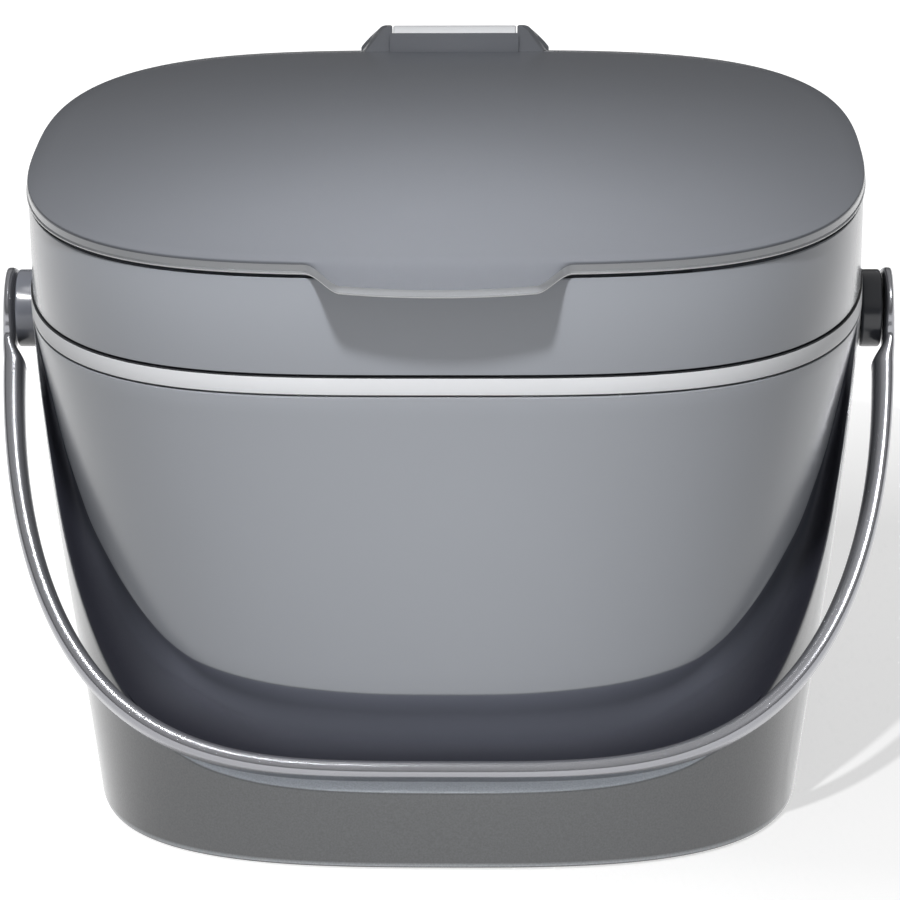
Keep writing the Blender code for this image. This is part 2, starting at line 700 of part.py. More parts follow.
def make_lid(turns):
    dense = lid_turns(turns)
    under = LID_RIM_TOP - LID_PLATE + LID_EDGE
    rings = [dome_ring(share, LID_RIM_TOP, LID_DOME, dense) for share in DOME_SHARES]
    rings += [
        lid_ring(0.0, LID_RIM_TOP - LID_EDGE, dense, TAB_TOP_DROP, TAB_REACH - LID_EDGE / 2),
        lid_ring(0.0, LID_BOTTOM + LID_EDGE / 2, dense, TAB_BOTTOM_DROP, TAB_REACH),
        lid_ring(0.0, LID_BOTTOM, dense, TAB_BOTTOM_DROP, TAB_REACH - LID_EDGE),
        lid_ring(LID_FIRST_STEP, LID_BOTTOM, dense),
        ring(LID_LAND, LID_BOTTOM, dense),
        ring(LID_LAND, under, dense),
    ]
    rings += [dome_ring(share, under, LID_DOME - LID_EDGE, dense) for share in UNDER_DOME_SHARES]
    lid = add_part("lid_panel", ring_loft(rings, closed=False), CHARCOAL, (0.0, HINGE_Y, HINGE_Z))
    hump_front = RIM_HALF_DEPTH - HUMP_FRONT
    profile = [
        (hump_front, LID_BOTTOM + HUMP_SINK),
        (hump_front, LID_RIM_TOP - HUMP_TOP_SINK),
        (RIM_HALF_DEPTH, HINGE_Z + EAR_RADIUS - WEB_DROP),
    ]
    profile += arc_points((HINGE_Y, HINGE_Z), EAR_RADIUS, *EAR_ARC, EAR_STEPS)
    profile += [(HINGE_Y - EAR_RADIUS, LID_BOTTOM + HUMP_SINK)]
    hump = add_part("hinge_hump", side_profile_body(profile[::-1], hump_half_width), None)
    combine(lid, hump, "UNION")
    notch_half = BARREL_HALF_WIDTH + RUN_GAP
    notch_low = LID_BOTTOM - CUT_OVERRUN
    notch_high = HINGE_Z + EAR_RADIUS + CUT_OVERRUN
    notch_rear = HINGE_Y + EAR_RADIUS + CUT_OVERRUN
    notch_profile = [
        (RIM_HALF_DEPTH, notch_low),
        (notch_rear, notch_low),
        (notch_rear, notch_high),
        (RIM_HALF_DEPTH, notch_high),
    ]
    notch = add_part("hinge_notch", side_profile_body(notch_profile[::-1], lambda z: notch_half), None)
    combine(lid, notch, "DIFFERENCE")
    bore = round_body(
        [
            (-HUMP_TOP_HALF_WIDTH + RUN_GAP, HINGE_BORE_RADIUS),
            (HUMP_TOP_HALF_WIDTH - RUN_GAP, HINGE_BORE_RADIUS),
        ],
        (0.0, HINGE_Y, HINGE_Z),
        along_x=True,
        steps=PIN_STEPS,
    )
    combine(lid, add_part("ear_bore", bore, None), "DIFFERENCE")
    return lid


def make_liner(turns):
    top = LID_RIM_TOP - LID_PLATE + LID_EDGE - RUN_GAP
    plate_low = top - LINER_PLATE
    plug_low = LID_BOTTOM - PLUG_DEPTH
    inner = PLUG_INSET + PLUG_WALL
    rings = [
        ring(LINER_INSET, top, turns),
        ring(LINER_INSET, plate_low, turns),
        ring(PLUG_INSET, plate_low, turns),
        ring(PLUG_INSET, plug_low + PLUG_FLANGE, turns),
        ring(PLUG_FLANGE_INSET, plug_low + PLUG_FLANGE, turns),
        ring(PLUG_FLANGE_INSET, plug_low, turns),
        ring(inner, plug_low, turns),
        ring(inner, plate_low, turns),
    ]
    return add_part("lid_liner", ring_loft(rings, closed=False), LINER_CHARCOAL, (0.0, HINGE_Y, HINGE_Z))


def make_seal(turns):
    low = LID_BOTTOM - PLUG_DEPTH + PLUG_FLANGE + RUN_GAP
    high = low + SEAL_HEIGHT
    inner = PLUG_INSET - RUN_GAP
    crown = (SEAL_INSET + inner) / 2
    rings = [
        ring(crown, low, turns),
        ring(SEAL_INSET, (low + high) / 2, turns),
        ring(crown, high, turns),
        ring(inner, high, turns),
        ring(inner, low, turns),
    ]
    return add_part("lid_seal", ring_loft(rings, closed=True), SILICONE, (0.0, HINGE_Y, HINGE_Z))


def make_hinge_pin():
    profile = [(-HINGE_PIN_HALF_LENGTH, HINGE_PIN_RADIUS), (HINGE_PIN_HALF_LENGTH, HINGE_PIN_RADIUS)]
    pin = round_body(profile, (0.0, HINGE_Y, HINGE_Z), along_x=True, steps=PIN_STEPS)
    return add_part("hinge_pin", pin, STEEL, (0.0, HINGE_Y, HINGE_Z))


def make_pivots():
    axis = (0.0, 0.0, PIVOT_HEIGHT)
    retainer_outer = wall_point(PIVOT_HEIGHT, TUB_WALL, 0.0).x - RETAINER_GAP
    retainer_inner = retainer_outer - RETAINER_THICKNESS
    pin_end = retainer_inner - PIN_END_PROUD
    pin_tip = PADDLE_OUTER - PIN_TIP_COVER - RUN_GAP
    for name, side in (("left", -1), ("right", 1)):
        drum_profile = [
            (side * DRUM_INNER, DRUM_RADIUS),
            (side * (DRUM_OUTER - DRUM_EDGE), DRUM_RADIUS),
            (side * DRUM_OUTER, DRUM_RADIUS - DRUM_EDGE),
        ]
        drum = add_part(
            f"pivot_boss_{name}", round_body(drum_profile, axis, along_x=True), DRUM_CHARCOAL, axis
        )
        bore_profile = [
            (side * (DRUM_INNER - CUT_OVERRUN), PIN_BORE_RADIUS),
            (side * (DRUM_OUTER + CUT_OVERRUN), PIN_BORE_RADIUS),
        ]
        bore = round_body(bore_profile, axis, along_x=True)
        combine(drum, add_part(f"boss_bore_{name}", bore, None, axis), "DIFFERENCE")
        pin_profile = [(side * pin_end, PIN_RADIUS), (side * pin_tip, PIN_RADIUS)]
        add_part(f"pivot_pin_{name}", round_body(pin_profile, axis, along_x=True), STEEL, axis)
        retainer_profile = [
            (side * retainer_inner, RETAINER_RADIUS),
            (side * retainer_outer, RETAINER_RADIUS),
        ]
        retainer = add_part(
            f"pin_retainer_{name}", round_body(retainer_profile, axis, along_x=True), STEEL, axis
        )
        hole_profile = [
            (side * (retainer_inner - CUT_OVERRUN), PIN_BORE_RADIUS),
            (side * (retainer_outer + CUT_OVERRUN), PIN_BORE_RADIUS),
        ]
        hole = round_body(hole_profile, axis, along_x=True)
        combine(retainer, add_part(f"retainer_hole_{name}", hole, None, axis), "DIFFERENCE")


def handle_section(place, width, depth, outward, tilt_normal):
    """Ring of the bail: a rounded oblong, width in the plane of the bail, depth across it."""
    points = []
    for i in range(SECTION_POINTS):
        angle = 2 * math.pi * (i + HALF_STEP) / SECTION_POINTS
        u = width / 2 * math.copysign(abs(math.cos(angle)) ** SECTION_POWER, math.cos(angle))
        v = depth / 2 * math.copysign(abs(math.sin(angle)) ** SECTION_POWER, math.sin(angle))
        points.append(place + outward * u + tilt_normal * v)
    return points


def mirrored(rings, side):
    return [[Vector((side * point.x, point.y, point.z)) for point in points] for points in rings]


def make_handle():
    """The bail, one moulding, as two arms and a bar, so that each node's collision follows its curve."""
    down = Vector((0.0, -BAR_REACH, -BAR_DROP)).normalized()
    normal = Vector((0.0, -BAR_DROP, BAR_REACH)).normalized()
    pivot = Vector((0.0, 0.0, PIVOT_HEIGHT))
    half_width = HANDLE_HALF_WIDTH - HANDLE_ARM_WIDTH / 2
    length = HANDLE_LENGTH - HANDLE_ARM_WIDTH / 2
    paddle_x = PADDLE_OUTER - PADDLE_THICKNESS / 2
    across = Vector((1.0, 0.0, 0.0))
    corner = CORNER_SHARE * length
    widths = (
        (0.0, HANDLE_ARM_WIDTH),
        (corner / 2, HANDLE_MIDDLE_WIDTH),
        (corner, HANDLE_CORNER_WIDTH),
        (length, HANDLE_BAR_WIDTH),
    )

    def arm_point(turn):
        x, s = plan_point(half_width, -length, length, HANDLE_POWER_ACROSS, HANDLE_POWER_ALONG, turn)
        return x, -s

    rings = []
    for share in PADDLE_ROW_SHARES:
        s = share * PADDLE_RADIUS
        depth = 2 * math.sqrt(PADDLE_RADIUS**2 - s * s)
        place = pivot + down * s + across * paddle_x
        rings.append(handle_section(place, PADDLE_THICKNESS, depth, across, normal))
    neck = DRUM_RADIUS + RUN_GAP
    neck_depth = (PADDLE_RADIUS + HANDLE_ARM_DEPTH) / 2
    place = pivot + down * neck + across * paddle_x
    rings.append(handle_section(place, PADDLE_THICKNESS, neck_depth, across, normal))
    start = PADDLE_RADIUS + PADDLE_BLEND
    first = math.asin((start / length) ** (HANDLE_POWER_ALONG / 2))
    for i in range(HANDLE_STEPS):
        t = i / HANDLE_STEPS
        turn = -(first + (math.pi / 2 - first) * t**HANDLE_STEP_POWER)
        x, s = arm_point(turn)
        ahead_x, ahead_s = arm_point(turn - TANGENT_TURN)
        tangent = across * (ahead_x - x) + down * (ahead_s - s)
        outward = normal.cross(tangent.normalized())
        width = smooth_share(widths, s)
        inward = (width - HANDLE_ARM_WIDTH) / 2
        depth = HANDLE_ARM_DEPTH + (HANDLE_BAR_DEPTH - HANDLE_ARM_DEPTH) * t
        place = pivot + down * s + across * x - outward * inward
        rings.append(handle_section(place, width, depth, outward, normal))
    middle = pivot + down * (HANDLE_LENGTH - HANDLE_BAR_WIDTH / 2)
    rings.append(handle_section(middle, HANDLE_BAR_WIDTH, HANDLE_BAR_DEPTH, down, normal))
    cut = len(PADDLE_ROW_SHARES) + 1 + ARM_STEPS
    step = sum((b - a for a, b in zip(rings[cut], rings[cut + 1])), Vector()) / SECTION_POINTS
    seam = RUN_GAP / step.length
    bar = [[a.lerp(b, seam) for a, b in zip(rings[cut], rings[cut + 1])]] + rings[cut + 1 :]
    add_part("handle_bar", ring_loft(bar + mirrored(bar[-2::-1], -1), closed=False), HANDLE_GREY, pivot)
    for name, side in (("left", -1), ("right", 1)):
        arm = ring_loft(mirrored(rings[: cut + 1], side), closed=False)
        arm = add_part(f"handle_arm_{name}", arm, HANDLE_GREY, pivot)
        bore_profile = [
            (side * (PADDLE_INNER - CUT_OVERRUN), PIN_BORE_RADIUS),
            (side * (PADDLE_OUTER - PIN_TIP_COVER), PIN_BORE_RADIUS),
        ]
        bore = round_body(bore_profile, pivot, along_x=True)
        combine(arm, add_part(f"paddle_bore_{name}", bore, None), "DIFFERENCE")


def make_base(turns):
    rings = []
    for height in (FOOT_PROUD, FOOT_PROUD + BASE_PLATE):
        rings.append([wall_point(height, TUB_WALL + RUN_GAP, turn) for turn in turns])
    base = add_part("base_plate", ring_loft(rings, closed=False), CHARCOAL)
    socket_top = FOOT_PROUD + FOOT_SOCKET
    for row, y in (("front", FOOT_FRONT), ("rear", FOOT_REAR)):
        for name, side in (("left", -1), ("right", 1)):
            centre = (side * FOOT_ACROSS, y, 0.0)
            reach = FOOT_RADIUS + RUN_GAP
            socket = round_body([(-CUT_OVERRUN, reach), (socket_top, reach)], centre, along_x=False)
            combine(base, add_part(f"socket_{row}_{name}", socket, None), "DIFFERENCE")
            foot_profile = [(0.0, FOOT_RADIUS), (socket_top - RUN_GAP, FOOT_RADIUS)]
            foot = round_body(foot_profile, centre, along_x=False)
            add_part(f"foot_{row}_{name}", foot, RUBBER, centre)


def main():
    clear_scene()
    turns = plain_turns()
    make_tub()
    make_base(turns)
    make_bucket(turns)
    make_rim_ring(turns)
    make_collar(turns)
    make_pivots()
    make_lid(turns)
    make_liner(turns)
    make_seal(turns)
    make_hinge_pin()
    make_handle()


main()
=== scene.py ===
"""Looks of the kitchen compost bin: smooth mouldings, gloss plastic, a plain pale studio.

Metres, +Z up, +Y to the back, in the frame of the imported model.
"""

import math

import bmesh
import bpy
from mathutils import Matrix, Vector


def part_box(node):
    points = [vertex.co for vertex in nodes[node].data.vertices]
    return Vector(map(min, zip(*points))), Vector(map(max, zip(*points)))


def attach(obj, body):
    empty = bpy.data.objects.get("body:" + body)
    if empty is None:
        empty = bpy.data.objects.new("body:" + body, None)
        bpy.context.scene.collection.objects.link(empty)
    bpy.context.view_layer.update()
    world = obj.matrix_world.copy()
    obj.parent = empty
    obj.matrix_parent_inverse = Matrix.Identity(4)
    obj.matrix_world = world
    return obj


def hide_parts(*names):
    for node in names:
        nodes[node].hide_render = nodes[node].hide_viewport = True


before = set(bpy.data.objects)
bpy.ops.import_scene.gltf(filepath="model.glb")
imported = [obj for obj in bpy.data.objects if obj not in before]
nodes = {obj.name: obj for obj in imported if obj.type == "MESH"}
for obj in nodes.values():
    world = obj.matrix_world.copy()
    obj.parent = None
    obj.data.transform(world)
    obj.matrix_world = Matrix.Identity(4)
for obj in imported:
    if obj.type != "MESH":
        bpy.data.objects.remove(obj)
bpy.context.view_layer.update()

# Sizes from the frame.
FOOT_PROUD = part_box("outer_body")[0].z
TUB_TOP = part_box("outer_body")[1].z
BAND_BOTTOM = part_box("rim_ring")[0].z
RIM_HALF_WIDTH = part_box("rim_ring")[1].x
RIM_HALF_DEPTH = -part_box("rim_ring")[0].y
COLLAR_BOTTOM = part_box("collar")[0].z
COLLAR_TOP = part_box("collar")[1].z
HINGE_Y = (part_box("hinge_pin")[0].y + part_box("hinge_pin")[1].y) / 2
HINGE_Z = (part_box("hinge_pin")[0].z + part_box("hinge_pin")[1].z) / 2
PIVOT_HEIGHT = (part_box("pivot_boss_left")[0].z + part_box("pivot_boss_left")[1].z) / 2
DRUM_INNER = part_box("pivot_boss_right")[0].x
DRUM_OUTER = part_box("pivot_boss_right")[1].x
PADDLE_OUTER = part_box("handle_arm_right")[1].x

# Plan of the rim.
RIM_POWER_ACROSS = 3.65
RIM_POWER_ALONG = 2.6
RUN_GAP = 0.0003
BAND_TOP = COLLAR_BOTTOM - RUN_GAP

# Tub wall.
SIDE_DRAFT = 0.0131
SIDE_BULGE = 0.0013
FRONT_DRAFT = 0.0014
REAR_DRAFT = 0.0130
BASE_POWER_ACROSS = 3.02
BASE_POWER_ALONG = 4.0
WAIST_SOFTENING_ACROSS = 0.22
WAIST_SOFTENING_ALONG = 0.42
WAIST_PEAK = 256 / 27  # makes down**3 * (1 - down) peak at 1
TUB_WALL = 0.0022
BASE_EDGE = 0.0006
BASE_LINE = 0.0008
TOP_EDGE = 0.0004
BROW_EDGE = 0.0005

# Front face and recess, angles in degrees from the middle of the front, heights as shares of the tub's top.
FACE_SIDE_DRAFT = 0.0200
FACE_FRONT_DRAFT = 0.0115
FACE_POWER_ALONG = 3.0
RECESS_END_ANGLE = 71.4
RECESS_INNER_SPREAD = 2.0
RECESS_DEPTH = 0.0085
LEDGE_ROUND = 0.0008
COVE_LOW_PULL = 0.08
COVE_HIGH_PULL = 0.70
LEDGE_SHARES = (
    (0.0, 0.172), (10.0, 0.174), (18.0, 0.179), (24.0, 0.187), (30.0, 0.199), (36.0, 0.219),
    (40.0, 0.234), (43.0, 0.246), (45.0, 0.262), (46.5, 0.285), (48.3, 0.302), (52.6, 0.346),
    (56.6, 0.397), (59.9, 0.449), (62.8, 0.501), (65.2, 0.555), (67.0, 0.612), (68.3, 0.668),
    (69.4, 0.726), (70.2, 0.787), (70.8, 0.850), (71.2, 0.920), (RECESS_END_ANGLE, 1.0),
)
BROW_SHARES = (
    (0.0, 0.355), (13.0, 0.366), (21.0, 0.377), (31.0, 0.398), (38.0, 0.432), (44.0, 0.479),
    (49.0, 0.526), (54.0, 0.577), (59.0, 0.627), (62.0, 0.677), (65.6, 0.730), (67.8, 0.775),
    (68.9, 0.840), (69.6, 0.920), (70.2, 1.0), (RECESS_END_ANGLE, 1.0),
)
SETBACK = 0.0062
SHELF_END_ANGLE = 46.5
SETBACK_SHARES = (
    (0.0, 1.0), (9.0, 0.93), (15.0, 0.83), (21.0, 0.72), (27.0, 0.56), (33.0, 0.40), (36.0, 0.31),
    (39.0, 0.22), (42.0, 0.12), (45.0, 0.04), (SHELF_END_ANGLE, 0.0), (RECESS_END_ANGLE, 0.0),
)
COVE_FOOT_SHARES = (
    (0.0, 0.190), (15.0, 0.197), (24.0, 0.214), (30.0, 0.231), (36.0, 0.251), (40.0, 0.266),
    (43.0, 0.278), (46.5, 0.292), (48.3, 0.302), (RECESS_END_ANGLE, 0.302),
)
COVE_DEPTH_SHARES = (
    (0.0, 1.0), (20.0, 0.96), (35.0, 0.82), (45.0, 0.62), (54.0, 0.38), (62.0, 0.18), (70.0, 0.06),
)

# Collar and band.
COLLAR_INSET = 0.0004
COLLAR_WALL = 0.0025
COLLAR_EDGE = 0.0005
RING_WALL = 0.0027
RING_EDGE = 0.0003

# Lid.
LID_BOTTOM = 0.1356
LID_RIM_HEIGHT = 0.0027
LID_RIM_TOP = LID_BOTTOM + LID_RIM_HEIGHT
LID_EDGE = 0.0006
LID_DOME = 0.0032
LID_PLATE = 0.0020
LID_LAND = 0.0050
LID_FIRST_STEP = 0.0003
RIM_BEAD = 0.00025
RIM_BEAD_HEIGHT = 0.0005
UNDER_SHARES = (0.9, 0.75, 0.55, 0.3, 0.1)
TAB_REACH = 0.0086
TAB_ROOT_HALF_WIDTH = 0.0274
TAB_TIP_HALF_WIDTH = 0.0196
TAB_BOW_SHARE = 0.16
TAB_TOP_DROP = 0.0026
TAB_BOTTOM_DROP = 0.0022
TAB_SPAN_SCALE = 1.15
TAB_SPARE = math.radians(0.3)

# Hinge.
BARREL_RADIUS = 0.0035
BARREL_HALF_WIDTH = 0.0150
EAR_RADIUS = 0.0036
HUMP_TOP_HALF_WIDTH = 0.0176
HUMP_FOOT_HALF_WIDTH = 0.0230
HUMP_FRONT = 0.0035
BARREL_ARC = (-80.0, 180.0)
EAR_ARC = (118.0, -90.0)
SIDE_EDGE = 0.0003
WEB_EDGE = 0.0001
WEB_DROP = 0.0006
WEB_ROUND = ((0.0012, 0.0006), (0.0005, 0.0001), (0.0, 0.0))
HUMP_SINK = 0.0012
EAR_ROUND = 0.0009
ARM_THICKNESS = 0.0030

# Inner bucket.
BUCKET_WALL = 0.0018
BUCKET_RIM_INSET = 0.0031
BUCKET_SIDE_DRAFT = 0.0190
BUCKET_FRONT_DRAFT = 0.0215
BUCKET_REAR_DRAFT = 0.0150
BUCKET_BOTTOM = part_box("inner_bucket")[0].z
BUCKET_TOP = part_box("inner_bucket")[1].z
BUCKET_BOTTOM_RADIUS = 0.0090
BUCKET_POWER_ALONG = 2.7
BUCKET_EDGE = 0.0004

# Handle and drums.
HANDLE_TILT = 43.7
HANDLE_INSET = 0.0001
HANDLE_HALF_WIDTH = PADDLE_OUTER - HANDLE_INSET
HANDLE_LENGTH = 0.1146
HANDLE_POWER_ACROSS = 3.75
HANDLE_POWER_ALONG = 2.30
HANDLE_ARM_WIDTH = 0.0051
HANDLE_MIDDLE_WIDTH = 0.0046
HANDLE_CORNER_WIDTH = 0.0043
CORNER_SHARE = 0.72
HANDLE_BAR_WIDTH = 0.0038
HANDLE_ARM_DEPTH = 0.0078
HANDLE_BAR_DEPTH = 0.0056
PADDLE_RADIUS = 0.0092
PADDLE_THICKNESS = 0.0028
PADDLE_BLEND = 0.0062
PADDLE_SWEEP = 0.77
HANDLE_SECTION_POWER = 0.7
HANDLE_SPACING = 1.25
TANGENT_STEP = 0.001
DRUM_RADIUS = 0.0088
DRUM_EDGE = 0.0006

SMOOTH_ANGLE = math.radians(38)
TINY = 1e-9
MERGE_DISTANCE = RUN_GAP / 100

# Steps of the meshes.
OUTLINE_STEPS = 480
OUTLINE_TRIES = 6000
BASE_STEPS = 4
SKIRT_STEPS = 15
LEDGE_STEPS = 4
COVE_STEPS = 18
BROW_STEPS = 4
FACE_STEPS = 17
TOP_STEPS = 3
PAD_STEPS = 64
INSET_ROUNDS = 30
INSET_POWER = 0.3
DOME_STEPS = 24
LID_EDGE_STEPS = 4
TAB_STEPS = 72
BARREL_STEPS = 40
EAR_STEPS = 36
HANDLE_SECTION_STEPS = 40
PADDLE_STEPS = 28
NECK_STEPS = 16
BOW_STEPS = 110
DRUM_STEPS = 96
DRUM_EDGE_STEPS = 5
BUCKET_CORNER_STEPS = 12
BUCKET_WALL_STEPS = 16
BUCKET_EDGE_STEPS = 4

# Where the zones of the tub's outer skin end, in points up from the base.
# Points of the painted shadow line along the base.
BASE_SHADOW_POINTS = 3
SKIRT_POINTS = BASE_STEPS + SKIRT_STEPS + 2
SHELF_POINTS = SKIRT_POINTS + LEDGE_STEPS + 2
COVE_POINTS = SHELF_POINTS + COVE_STEPS + 1
UPPER_POINTS = COVE_POINTS - SKIRT_POINTS + BROW_STEPS + FACE_STEPS

# Material slots.
RECESS_SLOT = 1
SKIRT_SLOT = 2
# Slots for painted shadow in the gaps, painted light on the lid's rim side and a painted highlight along its
# bead.
GAP_SHADOW_SLOT = 1
LIT_RIM_SLOT = 1
HIGHLIGHT_BEAD_SLOT = 2


def smooth_share(points, x):
    """Monotone smooth curve through listed (x, share) points."""
    if x >= points[-1][0]:
        return points[-1][1]
    slopes = [(b[1] - a[1]) / (b[0] - a[0]) for a, b in zip(points, points[1:])]
    for i, ((x0, y0), (x1, y1)) in enumerate(zip(points, points[1:])):
        if x <= x1:
            here = slopes[i]
            before = slopes[i - 1] if i else 0.0
            after = slopes[i + 1] if i + 1 < len(slopes) else here
            start = 2 * before * here / (before + here) if i and before * here > 0 else 0.0
            end = 2 * after * here / (after + here) if after * here > 0 else 0.0
            t = (x - x0) / (x1 - x0)
            rise = (x1 - x0) * (start * t * (1 - t) ** 2 - end * t * t * (1 - t))
            return y0 + (y1 - y0) * t * t * (3 - 2 * t) + rise
    return points[-1][1]


def plan_point(half_width, front, rear, across, along, turn):
    cosine = math.cos(turn)
    sine = math.sin(turn)
    x = half_width * math.copysign(abs(cosine) ** (2 / across), cosine)
    y = (rear - front) / 2 * math.copysign(abs(sine) ** (2 / along), sine)
    return x, y + (front + rear) / 2


def rim_point(inset, turn):
    return plan_point(
        RIM_HALF_WIDTH - inset,
        inset - RIM_HALF_DEPTH,
        RIM_HALF_DEPTH - inset,
        RIM_POWER_ACROSS,
        RIM_POWER_ALONG,
        turn,
    )


def rim_ring_at(inset, height, turns):
    return [Vector((*rim_point(inset, turn), height)) for turn in turns]


def even_turns(count):
    """Turns that split the rim's outline into steps of equal length, from the front middle round."""
    table = [-math.pi / 2 + eased(i / OUTLINE_TRIES) * math.pi / 2 for i in range(OUTLINE_TRIES + 1)]
    lengths = [0.0]
    for a, b in zip(table, table[1:]):
        lengths.append(lengths[-1] + math.dist(rim_point(0.0, a), rim_point(0.0, b)))
    quarter = []
    k = 0
    for i in range(count // 4 + 1):
        want = lengths[-1] * i / (count // 4)
        while k < OUTLINE_TRIES and lengths[k + 1] < want:
            k += 1
        quarter.append(table[min(k + 1, OUTLINE_TRIES)])
    quarter[0] = -math.pi / 2
    quarter[-1] = 0.0
    half = quarter + [-turn for turn in reversed(quarter[:-1])]
    return half + [math.pi - turn for turn in reversed(half[1:-1])]


def from_front(turn):
    return math.degrees(math.acos(max(-1.0, min(1.0, -math.sin(turn)))))


def wall_point(height, inset, turn):
    """Outer wall of the tub, and of the skirt below the recess."""
    down = 1 - height / TUB_TOP
    half_width = RIM_HALF_WIDTH - SIDE_DRAFT * down + 4 * SIDE_BULGE * down * (1 - down)
    soft = WAIST_PEAK * down**3 * (1 - down)
    across = RIM_POWER_ACROSS + (BASE_POWER_ACROSS - RIM_POWER_ACROSS) * down
    across -= WAIST_SOFTENING_ACROSS * soft
    along = RIM_POWER_ALONG + (BASE_POWER_ALONG - RIM_POWER_ALONG) * down
    along -= WAIST_SOFTENING_ALONG * soft
    front = FRONT_DRAFT * down - RIM_HALF_DEPTH
    rear = RIM_HALF_DEPTH - REAR_DRAFT * down
    x, y = plan_point(half_width - inset, front + inset, rear - inset, across, along, turn)
    return Vector((x, y, height))


def face_point(height, inset, turn):
    """Front face of the tub above the recess, which leans in more than the skirt."""
    down = 1 - height / TUB_TOP
    half_width = RIM_HALF_WIDTH - FACE_SIDE_DRAFT * down
    across = RIM_POWER_ACROSS + (BASE_POWER_ACROSS - RIM_POWER_ACROSS) * down
    along = RIM_POWER_ALONG + (FACE_POWER_ALONG - RIM_POWER_ALONG) * down
    front = FACE_FRONT_DRAFT * down - RIM_HALF_DEPTH
    rear = RIM_HALF_DEPTH - REAR_DRAFT * down
    x, y = plan_point(half_width - inset, front + inset, rear - inset, across, along, turn)
    return Vector((x, y, height))


def bezier(a, b, c, d, t):
    return (1 - t) ** 3 * a + 3 * t * (1 - t) ** 2 * b + 3 * t * t * (1 - t) * c + t**3 * d


def bend(a, corner, b, steps):
    """Points that turn from a to b round a corner."""
    points = []
    for i in range(steps + 1):
        t = i / steps
        points.append((1 - t) ** 2 * a + 2 * t * (1 - t) * corner + t * t * b)
    return points


def eased(share):
    share = max(0.0, min(1.0, share))
    return share * share * (3 - 2 * share)


def shares(count):
    return [(i + 1) / count for i in range(count)]


def tub_column(turn, inset, edge):
    """Points up one skin of the tub wall at one turn: skirt, shelf, cove and front face."""
    spread = RECESS_INNER_SPREAD if inset else 0.0
    angle = max(0.0, min(from_front(turn) - spread, RECESS_END_ANGLE))
    bottom = FOOT_PROUD
    ledge = smooth_share(LEDGE_SHARES, angle) * TUB_TOP
    brow = smooth_share(BROW_SHARES, angle) * TUB_TOP
    fade = min(1.0, 3 * (TUB_TOP - brow) / TUB_TOP)
    ledge -= inset * min(1.0, (TUB_TOP - ledge) / TUB_WALL)
    rounding = min(LEDGE_ROUND, (TUB_TOP - ledge) / 2)
    low = bottom + BASE_EDGE
    high = ledge - rounding
    top = TUB_TOP - edge
    if edge:
        points = bend(
            wall_point(bottom, BASE_EDGE, turn),
            wall_point(bottom, 0.0, turn),
            wall_point(low, 0.0, turn),
            BASE_STEPS,
        )
    else:
        points = [wall_point(bottom, inset, turn)] * BASE_STEPS + [wall_point(low, inset, turn)]
    high = min(high, top)
    start = low + BASE_LINE
    rise = high - start
    points += [wall_point(start + rise * share, inset, turn) for share in [0.0] + shares(SKIRT_STEPS)]
    foot = max(smooth_share(COVE_FOOT_SHARES, angle) * TUB_TOP, ledge)
    setback = max(rounding, SETBACK * smooth_share(SETBACK_SHARES, angle))
    shelf = ledge + min(LEDGE_ROUND, (foot - ledge) / 2)
    depth = inset + RECESS_DEPTH * smooth_share(COVE_DEPTH_SHARES, angle) * fade
    rise = brow - foot
    if angle >= RECESS_END_ANGLE:
        points += [wall_point(top, inset, turn)] * UPPER_POINTS
    else:
        points += bend(
            wall_point(ledge - rounding, inset, turn),
            wall_point(ledge, inset, turn),
            wall_point(ledge, inset + rounding, turn),
            LEDGE_STEPS,
        )
        points += [wall_point(shelf, inset + setback, turn), wall_point(foot, inset + setback, turn)]
        controls = (
            points[-1],
            face_point(foot + rise * COVE_LOW_PULL, depth, turn),
            face_point(foot + rise * COVE_HIGH_PULL, depth, turn),
            face_point(brow, inset, turn),
        )
        cove = [bezier(*controls, share) for share in shares(COVE_STEPS)]
        corner = min(BROW_EDGE, (top - brow) / 2) if top > brow else 0.0
        last = cove[-2]
        step = min(1.0, corner / max((controls[3] - last).length, TINY))
        points += cove[:-1]
        above = min(brow + corner, top)
        before = controls[3] + (last - controls[3]) * step
        points += bend(before, controls[3], face_point(above, inset, turn), BROW_STEPS)
        rise = max(0.0, top - above)
        points += [face_point(above + rise * share, inset, turn) for share in shares(FACE_STEPS)]
    if edge:
        place = face_point if angle < RECESS_END_ANGLE else wall_point
        ends = place(top, 0.0, turn), place(TUB_TOP, edge, turn)
        points += bend(ends[0], place(TUB_TOP, 0.0, turn), ends[1], TOP_STEPS)
    else:
        points += [wall_point(TUB_TOP, inset, turn)] * (TOP_STEPS + 1)
    return points


def mesh_of(name, shape):
    bmesh.ops.remove_doubles(shape, verts=shape.verts, dist=MERGE_DISTANCE)
    bmesh.ops.dissolve_degenerate(shape, edges=shape.edges, dist=MERGE_DISTANCE)
    bmesh.ops.recalc_face_normals(shape, faces=shape.faces)
    mesh = bpy.data.meshes.new(name)
    shape.to_mesh(mesh)
    shape.free()
    mesh.shade_smooth()
    mesh.set_sharp_from_angle(angle=SMOOTH_ANGLE)
    return mesh


def dress(name, shape, finish, body, *stands_for):
    """Makes a shown piece that rides on a body and stands for the CAD nodes of the same slot."""
    piece = bpy.data.objects.new(name, mesh_of(name, shape))
    bpy.context.scene.collection.objects.link(piece)
    piece.data.materials.append(finish)
    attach(piece, body)
    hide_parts(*stands_for)
    return piece


